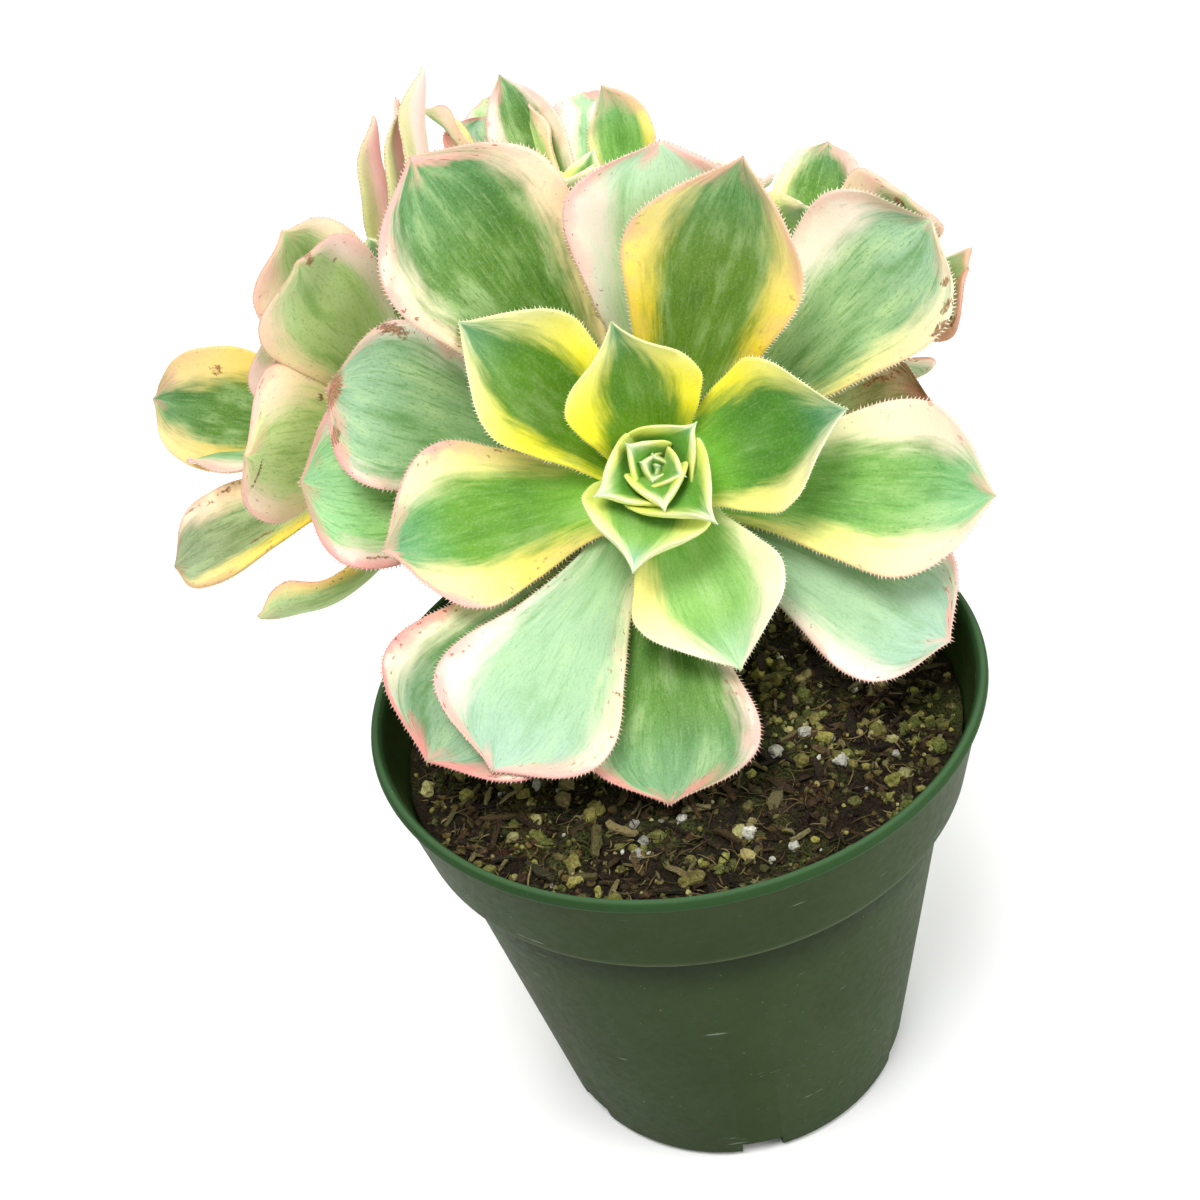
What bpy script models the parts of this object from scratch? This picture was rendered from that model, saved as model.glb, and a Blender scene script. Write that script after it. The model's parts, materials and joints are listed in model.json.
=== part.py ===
"""Potted variegated tree aeonium: a tapered nursery pot, its soil, a forked stem and four rosettes of leaves.

Modelled in metres with +Z up. The origin is the centre of the pot's base and -Y is the side of the front
rosette. Lengths below are in millimetres and are brought to metres as each mesh is made.
"""

import math
import random

import bmesh
import bpy
import numpy as np

MM = 0.001

# The pot: outer radii with the heights at which they hold.
SIDES = 56
POT_HEIGHT = 92.0
POT_BASE_RADIUS = 34.6
BODY_TOP_RADIUS = 46.8
COLLAR_BOTTOM = 72.2
COLLAR_BOTTOM_RADIUS = 49.8
COLLAR_TOP_RADIUS = 53.0
LIP_RADIUS = 54.0
LIP_HEIGHT = 2.4
BASE_ROUND = 1.2
WALL = 1.3
FLOOR = 1.6
FLOOR_FILLET = (0.8, 0.6)
DRAIN_COUNT = 6
DRAIN_WIDTH = 9.0
DRAIN_REACH = 6.0
DRAIN_HEIGHT = 4.0
DRAIN_TAPER = 0.72
DRAIN_OVERSHOOT = 4.0
POT_COLOUR = (0.035, 0.085, 0.045)
POT_ROUGHNESS = 0.5

# The pot's shoulder under the collar, the rounding of the collar's step and the lip's section. Each corner of
# the lip is given as how far it stands in from the lip's radius and its distance from the nearer level face.
SHOULDER_DROP = 2.0
SHOULDER_EASE = 0.4
STEP_ROUND = 0.9
STEP_INSIDE = 0.4
JUST_UNDER = 0.1
LIP_LOW_CORNER = (0.3, 0.4)
LIP_BELLY = 1.1
LIP_HIGH_CORNER = (0.2, 0.5)
LIP_CROWN = 0.8
LIP_INNER_CORNER = (0.5, 0.6)

# The soil: its level and relief.
GAP = 0.3
SOIL_LEVEL = 80.6
SOIL_MOUND = 2.2
SOIL_RELIEF = 0.7
MOUND_REACH = 24.0
WAVE_EAST = (0.31, 1.1)
WAVE_NORTH = (0.27, -0.4)
WAVE_SKEW = (0.62, -0.55, 2.0, 0.6)
SOIL_JITTER = 0.5
SOIL_EDGE_DROP = 0.8
SOIL_SIDES = 40
SOIL_RINGS = (43.0, 35.0, 27.0, 18.0, 9.0)
SOIL_COLOUR = (0.035, 0.022, 0.014)
SOIL_ROUGHNESS = 0.95
GRAIN_COUNT = 30
GRAIN_SIZES = (1.0, 2.3)
BARK_COUNT = 14
GRAIN_BREADTHS = (0.7, 1.0)
GRAIN_DEPTHS = (0.6, 0.85)
GRAIN_RISE = 0.3
BARK_LENGTHS = (5.0, 11.0)
BARK_BREADTHS = (0.7, 1.3)
BARK_DEPTHS = (0.6, 0.9)
BARK_RISE = 0.25
GRAIN_TILT = 0.12
GRAIN_SPREAD = 44.5
GRAIN_LIMIT = 46.0
GRAIN_TRIES = 60
GRAIN_STEM_GAP = 2.5
SOIL_SEED = 11

# The stem: the foot stands in a hole in the soil and the branches fork from the head of the trunk.
STEM_SIDES = 12
BRANCH_SIDES = 10
TRUNK_X = 2.0
TRUNK_Y = 34.0
TRUNK_RADIUS = 5.5
TRUNK_FOOT = 61.0
TRUNK_HEAD_DROP = 6.0
FORK = (2.5, 36.0, 91.0)
FORK_SWELL = 0.3
STUMP = (0.0, 1.0, 5.0)
STUMP_RADIUS = 3.5
BRANCH_SWELL = 0.6
NECK = 6.0
HOLE_EASE = 0.1
BARK_COLOUR = (0.20, 0.13, 0.08)
BARK_ROUGHNESS = 0.85

# Each rosette: centre of its bud, heading of its axis from -Y towards +X, the axis's elevation, spin of its
# azimuths (degrees), how far its core reaches behind the bud, the knees of the branch that carries it and the
# branch's radius.
ROSETTES = {
    "front": ((4.0, 17.0, 122.0), -3.0, 45.0, -11.0, 18.0, ((3.5, 37.0, 97.0),), 4.4),
    "left": ((-43.0, 62.0, 123.0), -120.0, 40.0, 0.0, 13.0, ((-11.0, 44.0, 97.0), (-26.0, 52.0, 106.0)), 3.7),
    "back": ((0.0, 67.0, 148.0), 180.0, 80.0, 0.0, 13.0, ((1.0, 51.0, 104.0), (0.0, 62.0, 120.0)), 3.9),
    "right": ((43.0, 61.0, 129.0), 130.0, 40.0, 0.0, 13.0, ((14.0, 43.0, 99.0), (29.0, 50.0, 113.0)), 3.7),
}

# Each leaf: azimuth in its rosette, radius and height of its root on the core, length, width, lift off the
# rosette's plane at the root, bend (the lift it gains towards the tip), cupping, roll about its midrib, and
# age (0 is a young leaf, widest near its middle; 1 is a mature one, widest near its tip).
FRONT_LEAVES = (
    (274, 5, -14, 55, 31, 24, -6, 0.25, 0, 1.0),
    (234, 5, -14, 61, 34, 24, -8, 0.20, 0, 1.0),
    (43, 5, -14, 62, 31, 20, 8, 0.25, 0, 1.0),
    (182, 5, -14, 59, 32, 14, 0, 0.20, 0, 1.0),
    (167, 5, -14, 57, 30, 21, 0, 0.20, 0, 1.0),
    (90, 5, -14, 59, 32, 36, 10, 0.25, 0, 1.0),
    (19, 5, -16, 46, 28, 9, 0, 0.20, 0, 1.0),
    (331, 5, -13, 54, 28, 16, 0, 0.20, 0, 1.0),
    (131, 5, -10, 67, 35, 28, 10, 0.30, 0, 0.9),
    (244, 5, -10, 56, 32, 23, -6, 0.25, 0, 1.0),
    (356, 5, -9, 54, 31, 15, 6, 0.30, 0, 0.8),
    (74, 5, -9, 56, 31, 33, 14, 0.35, 0, 0.7),
    (198, 4, -7, 46, 30, 14, 4, 0.30, 0, 0.7),
    (294, 4, -6, 35, 27, 20, 0, 0.30, 0, 0.5),
    (146, 4, -5, 41, 25, 24, 10, 0.35, 0, 0.5),
    (16, 4, -4, 33, 27, 26, 10, 0.35, 0, 0.4),
    (109, 4, -3, 28, 24, 41, 15, 0.40, 0, 0.3),
    (261, 3, -1, 21, 22, 45, -10, 0.40, 0, 0.1),
    (46, 3, 1, 11, 14, 58, -10, 0.40, 0, 0.1),
    (213, 3, 1, 14, 15, 57, -10, 0.40, 0, 0.1),
    (314, 3, 1, 18, 17, 53, -10, 0.40, 0, 0.1),
    (283, 2, 3, 12, 11, 60, -10, 0.40, 0, 0.1),
    (336, 2, 4, 7, 8, 64, -10, 0.40, 0, 0.1),
    (120, 2, 3, 10, 10, 62, -10, 0.40, 0, 0.1),
    (170, 1, 5, 7, 7, 72, -10, 0.40, 0, 0.1),
)
LEFT_LEAVES = (
    (64, 5, -6, 46, 24, 43, 10, 0.25, 6, 0.7),
    (58, 5, -6, 45, 26, 34, 10, 0.25, 4, 0.7),
    (39, 5, -8, 37, 26, 48, 10, 0.25, 0, 0.7),
    (270, 5, -6, 60, 26, 47, 10, 0.25, 45, 0.6),
    (281, 5, -8, 49, 26, 42, 6, 0.25, 10, 0.7),
    (7, 5, -8, 38, 31, 26, 8, 0.25, -30, 0.7),
    (304, 5, -10, 54, 22, 24, 6, 0.25, 50, 1.0),
    (324, 5, -10, 49, 13, -47, 105, 0.25, -19, 1.0),
    (121, 5, -7, 53, 22, 44, 8, 0.25, -3, 0.6),
    (118, 5, -8, 56, 24, 39, 8, 0.25, -6, 0.6),
    (121, 5, -9, 62, 24, 35, 8, 0.25, -2, 0.6),
    (150, 5, -6, 36, 24, 34, 8, 0.25, 0, 0.7),
    (182, 5, -6, 40, 25, 30, 8, 0.25, 0, 0.7),
    (213, 5, -6, 42, 26, 30, 8, 0.25, 0, 0.7),
    (243, 5, -6, 42, 26, 32, 8, 0.25, 0, 0.7),
    (88, 5, -6, 34, 22, 40, 8, 0.25, 0, 0.6),
)
BACK_LEAVES = (
    (283, 5, -5, 45, 15, 34, 10, 0.25, 16, 0.3),
    (279, 4, -4, 35, 9, 33, 10, 0.35, 62, 0.6),
    (224, 5, -6, 32, 13, 27, 93, 0.25, -47, 0.6),
    (310, 5, -6, 42, 10, 36, 10, 0.25, -40, 0.7),
    (290, 5, -8, 42, 24, 30, 10, 0.25, 0, 1.0),
    (286, 5, -9, 50, 13, 28, 10, 0.25, 12, 1.0),
    (83, 4, -5, 33, 18, 35, 8, 0.30, 0, 0.6),
    (338, 5, -7, 24, 20, 24, 8, 0.25, 0, 0.8),
    (12, 5, -8, 24, 20, 14, 8, 0.25, 0, 0.9),
    (48, 5, -6, 34, 22, 22, 8, 0.25, 0, 0.8),
    (128, 5, -6, 34, 22, 20, 8, 0.25, 0, 0.8),
    (165, 5, -8, 27, 22, 8, 8, 0.25, 0, 0.9),
    (200, 5, -7, 36, 25, 4, 8, 0.25, 0, 1.0),
    (232, 5, -8, 44, 26, 2, 8, 0.25, 0, 1.0),
    (262, 5, -9, 59, 13, 18, 8, 0.25, -10, 1.0),
    (318, 5, -10, 25, 20, 14, 8, 0.25, 0, 0.9),
)
RIGHT_LEAVES = (
    (330, 5, -6, 44, 18, 63, 0, 0.25, 30, 0.5),
    (136, 5, -6, 39, 19, 21, 10, 0.25, 14, 1.0),
    (159, 5, -8, 39, 18, 11, 14, 0.25, 90, 1.0),
    (196, 5, -8, 22, 20, 14, 8, 0.25, 0, 1.0),
    (230, 5, -7, 24, 20, 20, 8, 0.25, 0, 1.0),
    (262, 5, -7, 34, 24, 22, 8, 0.25, 0, 0.9),
    (294, 5, -7, 38, 25, 26, 8, 0.25, 0, 0.8),
    (340, 5, -8, 26, 20, 22, 8, 0.25, 0, 0.9),
    (18, 5, -8, 24, 18, 16, 8, 0.25, 0, 0.9),
    (108, 5, -6, 25, 20, 24, 8, 0.25, 0, 0.8),
    (246, 5, -10, 24, 22, 6, 8, 0.25, 0, 1.0),
)
LEAVES = {"front": FRONT_LEAVES, "left": LEFT_LEAVES, "back": BACK_LEAVES, "right": RIGHT_LEAVES}

# Young leaves round the buds of the side rosettes: first azimuth and length of the longest.
YOUNG_LEAVES = {"left": (20.0, 24.0), "back": (40.0, 18.0), "right": (70.0, 18.0)}
YOUNG_COUNT = 7
GOLDEN_ANGLE = 137.5

# The innermost young leaf's numbers, with what the outermost adds to them.
YOUNG_ROOT = (2.0, 2.0)
YOUNG_HEIGHT = (4.0, -6.0)
YOUNG_SHORTEST = 7.0
YOUNG_NARROWEST = 6.0
YOUNG_SLIMNESS = 9.0
YOUNG_LIFT = (72.0, -28.0)
YOUNG_BEND = -6.0
YOUNG_CUP = 0.4
YOUNG_AGE = 0.3

# The core of a rosette: radii at its foot and shoulder, and heights with radii from there up into the bud.
CORE_FOOT_RADIUS = 4.8
CORE_SHOULDER = (3.0, 5.8)
CORE_LEVELS = ((-7.0, 5.8), (-2.0, 4.6), (2.0, 3.2), (5.0, 1.6))
LEAF_COLOUR = (0.30, 0.50, 0.20)
LEAF_ROUGHNESS = 0.5

# The leaf's outline: half-width as a share of the greatest, at stations that run 0 to 1 up to the widest
# point and 1 to 2 from there on to the tip.
OUTLINE_STATIONS = (0.0, 0.35, 0.7, 1.0, 1.4, 1.7, 1.88, 2.0)
OUTLINE_YOUNG = (0.55, 0.80, 0.96, 1.0, 0.84, 0.50, 0.20, 0.0)
OUTLINE_MATURE = (0.27, 0.38, 0.72, 1.0, 0.88, 0.60, 0.32, 0.0)
WIDEST_YOUNG = 0.45
WIDEST_GAIN = 0.35
STATIONS_FRONT = (0.0, 0.24, 0.47, 0.66, 0.8, 0.9, 0.96, 1.0)
STATIONS_SIDE = (0.0, 0.3, 0.56, 0.76, 0.91, 1.0)
STATIONS_SMALL = (0.0, 0.34, 0.66, 0.87, 1.0)
LARGE_LEAF = 25.0
BROAD_LEAF = 40.0
ROOT_SINK = 3.5
TIP_HALF_WIDTH = 0.45
EDGE_THICKNESS = 0.9
BELLY_THICKNESS = 1.3
BELLY_LENGTH = 30.0
ROOT_THICKNESS = 1.0
PATH_STEPS = 100


def smooth_curve(xs, ys, x):
    """A curve through the points with no overshoot between them."""
    xs = np.asarray(xs, float)
    ys = np.asarray(ys, float)
    step = np.diff(xs)
    slope = np.diff(ys) / step
    tangent = np.zeros(len(xs))
    for i in range(1, len(xs) - 1):
        if slope[i - 1] * slope[i] > 0:
            near = 2 * step[i] + step[i - 1]
            far = step[i] + 2 * step[i - 1]
            tangent[i] = (near + far) / (near / slope[i - 1] + far / slope[i])
    tangent[0] = slope[0]
    tangent[-1] = slope[-1]
    x = np.clip(x, xs[0], xs[-1])
    i = np.clip(np.searchsorted(xs, x) - 1, 0, len(xs) - 2)
    u = (x - xs[i]) / step[i]
    rise = ys[i] * (1 + 2 * u) * (1 - u) ** 2 + ys[i + 1] * u * u * (3 - 2 * u)
    return rise + step[i] * (tangent[i] * u * (1 - u) ** 2 - tangent[i + 1] * u * u * (1 - u))


def half_width(t, age):
    """Share of the leaf's greatest half-width at t, from 0 at the root to 1 at the tip."""
    widest = WIDEST_YOUNG + WIDEST_GAIN * age
    station = np.where(t < widest, t / widest, 1 + (t - widest) / (1 - widest))
    young = smooth_curve(OUTLINE_STATIONS, OUTLINE_YOUNG, station)
    mature = smooth_curve(OUTLINE_STATIONS, OUTLINE_MATURE, station)
    return (1 - age) * young + age * mature


def rosette_frame(centre, heading, elevation, spin):
    """Centre, the two axes of the rosette's plane and its normal."""
    h = math.radians(heading)
    e = math.radians(elevation)
    s = math.radians(spin)
    normal = np.array([math.sin(h) * math.cos(e), -math.cos(h) * math.cos(e), math.sin(e)])
    level = np.array([math.cos(h), math.sin(h), 0.0])
    rising = np.cross(normal, level)
    first = math.cos(s) * level + math.sin(s) * rising
    return np.array(centre), first, np.cross(normal, first), normal


def leaf_mesh(frame, row, stations, columns):
    """Points and triangles of one leaf: upper and lower faces cut alike, closed by a rim."""
    azimuth, root_radius, root_height, length, width, lift, bend, cup, roll, age = row
    centre, first, second, normal = frame
    a = math.radians(azimuth)
    out = math.cos(a) * first + math.sin(a) * second
    stations = np.array(stations)
    fine = np.linspace(0, 1, PATH_STEPS + 1)
    pitch = np.radians(lift + bend * fine)
    along = np.cos(pitch)[:, None] * out + np.sin(pitch)[:, None] * normal
    path = np.cumsum((along[1:] + along[:-1]) / 2, axis=0) * length / PATH_STEPS
    path = np.concatenate([[np.zeros(3)], path])
    index = np.round(stations * PATH_STEPS).astype(int)
    mid = centre + root_radius * out + root_height * normal + path[index]
    up = np.cos(pitch[index])[:, None] * normal - np.sin(pitch[index])[:, None] * out
    side = np.cross(along[index], up)
    turn = math.radians(roll)
    across = math.cos(turn) * side + math.sin(turn) * up
    above = math.cos(turn) * up - math.sin(turn) * side
    half = np.maximum(width / 2 * half_width(stations, age), TIP_HALF_WIDTH)
    # One more station inside the core, so that the root is sunk well in.
    mid = np.concatenate([[mid[0] - ROOT_SINK * out], mid])
    across = np.concatenate([across[:1], across])
    above = np.concatenate([above[:1], above])
    half = np.concatenate([half[:1], half])
    t = np.concatenate([[0.0], stations])
    v = np.linspace(-1, 1, columns)
    belly = BELLY_THICKNESS * (1 - t) ** 0.5 * min(1.0, length / BELLY_LENGTH) + ROOT_THICKNESS * (1 - t) ** 3
    thick = (EDGE_THICKNESS + belly[:, None] * (1 - v[None] ** 2)) / 2
    sheet = mid[:, None] + (half[:, None] * v[None])[..., None] * across[:, None]
    sheet = sheet + (cup * half[:, None] * v[None] ** 2)[..., None] * above[:, None]
    top = sheet + thick[..., None] * above[:, None]
    low = sheet - thick[..., None] * above[:, None]
    rows = len(t)
    points = np.concatenate([top.reshape(-1, 3), low.reshape(-1, 3)])
    lower = rows * columns
    faces = []
    for i in range(rows - 1):
        for j in range(columns - 1):
            p = i * columns + j
            q = p + columns
            faces += [(p, p + 1, q + 1), (p, q + 1, q)]
            faces += [(lower + p, lower + q + 1, lower + p + 1), (lower + p, lower + q, lower + q + 1)]
    border = [j for j in range(columns)]
    border += [i * columns + columns - 1 for i in range(1, rows)]
    border += [(rows - 1) * columns + j for j in range(columns - 2, -1, -1)]
    border += [i * columns for i in range(rows - 2, 0, -1)]
    for k, p in enumerate(border):
        q = border[(k + 1) % len(border)]
        faces += [(q, p, lower + p), (q, lower + p, lower + q)]
    return points, faces


def young_rows(start, longest):
    """Leaves round a bud, each turned by the golden angle and shorter than the one before."""
    rows = []
    for i in range(YOUNG_COUNT):
        s = 1 - i / YOUNG_COUNT
        root = YOUNG_ROOT[0] + YOUNG_ROOT[1] * s
        height = YOUNG_HEIGHT[0] + YOUNG_HEIGHT[1] * s
        length = YOUNG_SHORTEST + (longest - YOUNG_SHORTEST) * s
        width = YOUNG_NARROWEST + (longest - YOUNG_SLIMNESS) * s
        lift = YOUNG_LIFT[0] + YOUNG_LIFT[1] * s
        azimuth = start + GOLDEN_ANGLE * i
        rows.append((azimuth, root, height, length, width, lift, YOUNG_BEND, YOUNG_CUP, 0, YOUNG_AGE * s))
    return rows


def new_object(name, points, faces, collection=None):
    """A mesh object from points in millimetres, with its faces turned outward."""
    mesh = bpy.data.meshes.new(name)
    mesh.from_pydata([tuple(float(c) * MM for c in p) for p in points], [], faces)
    body = bmesh.new()
    body.from_mesh(mesh)
    bmesh.ops.recalc_face_normals(body, faces=body.faces)
    body.to_mesh(mesh)
    body.free()
    obj = bpy.data.objects.new(name, mesh)
    (collection or bpy.context.scene.collection).objects.link(obj)
    return obj


def lathe(profile, sides):
    """Points and faces of a closed ring of profile points (radius, height) turned round the Z axis."""
    points = []
    for radius, height in profile:
        if radius == 0:
            points.append([(0.0, 0.0, height)])
            continue
        turn = [2 * math.pi * k / sides for k in range(sides)]
        points.append([(radius * math.cos(a), radius * math.sin(a), height) for a in turn])
    starts = np.cumsum([0] + [len(ring) for ring in points])
    faces = []
    for i in range(len(points)):
        j = (i + 1) % len(points)
        if len(points[i]) == 1 and len(points[j]) == 1:
            continue
        for k in range(sides):
            n = (k + 1) % sides
            if len(points[i]) == 1:
                faces.append((starts[i], starts[j] + k, starts[j] + n))
            elif len(points[j]) == 1:
                faces.append((starts[i] + n, starts[i] + k, starts[j]))
            else:
                faces.append((starts[i] + n, starts[i] + k, starts[j] + k, starts[j] + n))
    return [p for ring in points for p in ring], [tuple(int(c) for c in f) for f in faces]


def tube(path, radii, sides, last=None):
    """Points and faces of a tube along a path. With last given, its end faces that way."""
    path = np.array(path, float)
    rings = []
    across = np.array([1.0, 0.0, 0.0])
    for i, point in enumerate(path):
        before = path[max(i - 1, 0)]
        after = path[min(i + 1, len(path) - 1)]
        along = after - before
        if i == len(path) - 1 and last is not None:
            along = np.array(last)
        along = along / np.linalg.norm(along)
        across = across - along * (across @ along)
        across = across / np.linalg.norm(across)
        other = np.cross(along, across)
        for k in range(sides):
            a = 2 * math.pi * k / sides
            rings.append(point + radii[i] * (math.cos(a) * across + math.sin(a) * other))
    faces = []
    for i in range(len(path) - 1):
        for k in range(sides):
            n = (k + 1) % sides
            a, b = i * sides + k, i * sides + n
            faces += [(a, b, b + sides), (a, b + sides, a + sides)]
    faces.append(tuple(range(sides)))
    faces.append(tuple(range(len(path) * sides - 1, (len(path) - 1) * sides - 1, -1)))
    return rings, faces


def apply_modifiers(obj):
    """Replaces the object's mesh by the one its modifiers give."""
    graph = bpy.context.evaluated_depsgraph_get()
    mesh = bpy.data.meshes.new_from_object(obj.evaluated_get(graph))
    obj.modifiers.clear()
    old = obj.data
    obj.data = mesh
    bpy.data.meshes.remove(old)


def keep_largest_shell(obj):
    """Drops loose scraps and fills the hollows that fusing sealed, by keeping only the outermost shell."""
    body = bmesh.new()
    body.from_mesh(obj.data)
    unseen = set(body.verts)
    shells = []
    while unseen:
        stack = [unseen.pop()]
        shell = []
        while stack:
            vertex = stack.pop()
            shell.append(vertex)
            for edge in vertex.link_edges:
                other = edge.other_vert(vertex)
                if other in unseen:
                    unseen.remove(other)
                    stack.append(other)
        shells.append(shell)
    shells.sort(key=len)
    bmesh.ops.delete(body, geom=[v for shell in shells[:-1] for v in shell], context="VERTS")
    body.to_mesh(obj.data)
    body.free()


def fuse(obj, collection, operation="UNION"):
    """Joins everything in the collection to the object, or cuts it away, with one modifier."""
    modifier = obj.modifiers.new("fuse", "BOOLEAN")
    modifier.operation = operation
    modifier.operand_type = "COLLECTION"
    modifier.collection = collection
    modifier.solver = "EXACT"
    bpy.context.view_layer.update()
    apply_modifiers(obj)
    for other in list(collection.objects):
        bpy.data.objects.remove(other)
    bpy.data.collections.remove(collection)
    keep_largest_shell(obj)


def helper_collection(name):
    collection = bpy.data.collections.new(name)
    bpy.context.scene.collection.children.link(collection)
    return collection


def material(name, colour, roughness):
    made = bpy.data.materials.new(name)
    made.use_nodes = True
    shader = made.node_tree.nodes["Principled BSDF"]
    shader.inputs["Base Color"].default_value = (*colour, 1.0)
    shader.inputs["Roughness"].default_value = roughness
    return made


def finish(obj, made, smooth):
    obj.data.materials.clear()
    obj.data.materials.append(made)
    obj.data.polygons.foreach_set("use_smooth", [smooth] * len(obj.data.polygons))


def inner_radius(height):
    """Radius of the pot's inner wall at a height."""
    if height < COLLAR_BOTTOM:
        share = height / COLLAR_BOTTOM
        return POT_BASE_RADIUS + (BODY_TOP_RADIUS - POT_BASE_RADIUS) * share - WALL
    share = (height - COLLAR_BOTTOM) / (POT_HEIGHT - COLLAR_BOTTOM)
    return COLLAR_BOTTOM_RADIUS + (COLLAR_TOP_RADIUS - COLLAR_BOTTOM_RADIUS) * share - WALL


def build_pot():
    lip_low = POT_HEIGHT - LIP_HEIGHT
    lip_inner = COLLAR_TOP_RADIUS - WALL
    profile = [
        (0.0, 0.0),
        (POT_BASE_RADIUS - BASE_ROUND, 0.0),
        (POT_BASE_RADIUS, BASE_ROUND),
        (BODY_TOP_RADIUS - SHOULDER_EASE, COLLAR_BOTTOM - SHOULDER_DROP),
        (BODY_TOP_RADIUS, COLLAR_BOTTOM - STEP_ROUND),
        (COLLAR_BOTTOM_RADIUS - STEP_ROUND, COLLAR_BOTTOM),
        (COLLAR_BOTTOM_RADIUS, COLLAR_BOTTOM + STEP_ROUND),
        (COLLAR_TOP_RADIUS, lip_low),
        (LIP_RADIUS - LIP_LOW_CORNER[0], lip_low + LIP_LOW_CORNER[1]),
        (LIP_RADIUS, lip_low + LIP_BELLY),
        (LIP_RADIUS - LIP_HIGH_CORNER[0], POT_HEIGHT - LIP_HIGH_CORNER[1]),
        (LIP_RADIUS - LIP_CROWN, POT_HEIGHT),
        (lip_inner + LIP_INNER_CORNER[0], POT_HEIGHT),
        (lip_inner, POT_HEIGHT - LIP_INNER_CORNER[1]),
        (COLLAR_BOTTOM_RADIUS - WALL, COLLAR_BOTTOM + WALL),
        (inner_radius(COLLAR_BOTTOM - JUST_UNDER), COLLAR_BOTTOM + STEP_INSIDE),
        (inner_radius(COLLAR_BOTTOM - SHOULDER_DROP), COLLAR_BOTTOM - SHOULDER_DROP),
        (POT_BASE_RADIUS - WALL, FLOOR + FLOOR_FILLET[1]),
        (POT_BASE_RADIUS - WALL - FLOOR_FILLET[0], FLOOR),
        (0.0, FLOOR),
    ]
    pot = new_object("pot", *lathe(profile, SIDES))
    cutters = helper_collection("drain cutters")
    for k in range(DRAIN_COUNT):
        turn = 2 * math.pi * (k + 0.5) / DRAIN_COUNT
        out = np.array([math.cos(turn), math.sin(turn), 0.0])
        side = np.array([-math.sin(turn), math.cos(turn), 0.0])
        corners = []
        inner = POT_BASE_RADIUS - DRAIN_REACH
        outer = POT_BASE_RADIUS + DRAIN_OVERSHOOT
        narrow = DRAIN_WIDTH * DRAIN_TAPER / 2
        wide = DRAIN_WIDTH / 2
        low = -DRAIN_OVERSHOOT
        high = DRAIN_HEIGHT
        for r, w, z in ((inner, narrow, low), (outer, wide, low), (outer, wide, high), (inner, narrow, high)):
            for s in (-1, 1):
                corners.append(out * r + side * s * w + np.array([0, 0, z]))
        faces = [(0, 1, 3, 2), (2, 3, 5, 4), (4, 5, 7, 6), (6, 7, 1, 0), (0, 2, 4, 6), (1, 7, 5, 3)]
        new_object(f"drain_{k}", corners, faces, cutters)
    fuse(pot, cutters, "DIFFERENCE")
    finish(pot, material("pot_plastic", POT_COLOUR, POT_ROUGHNESS), True)


def soil_height(x, y):
    """Height of the soil's surface, mounded towards the stem."""
    away = math.hypot(x - TRUNK_X, y - TRUNK_Y)
    mound = SOIL_MOUND * math.exp(-(away / MOUND_REACH) ** 2)
    cross = math.sin(WAVE_EAST[0] * x + WAVE_EAST[1]) * math.cos(WAVE_NORTH[0] * y + WAVE_NORTH[1])
    skew = WAVE_SKEW[3] * math.sin(WAVE_SKEW[0] * x + WAVE_SKEW[1] * y + WAVE_SKEW[2])
    return SOIL_LEVEL + mound + SOIL_RELIEF * (cross + skew)


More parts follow.
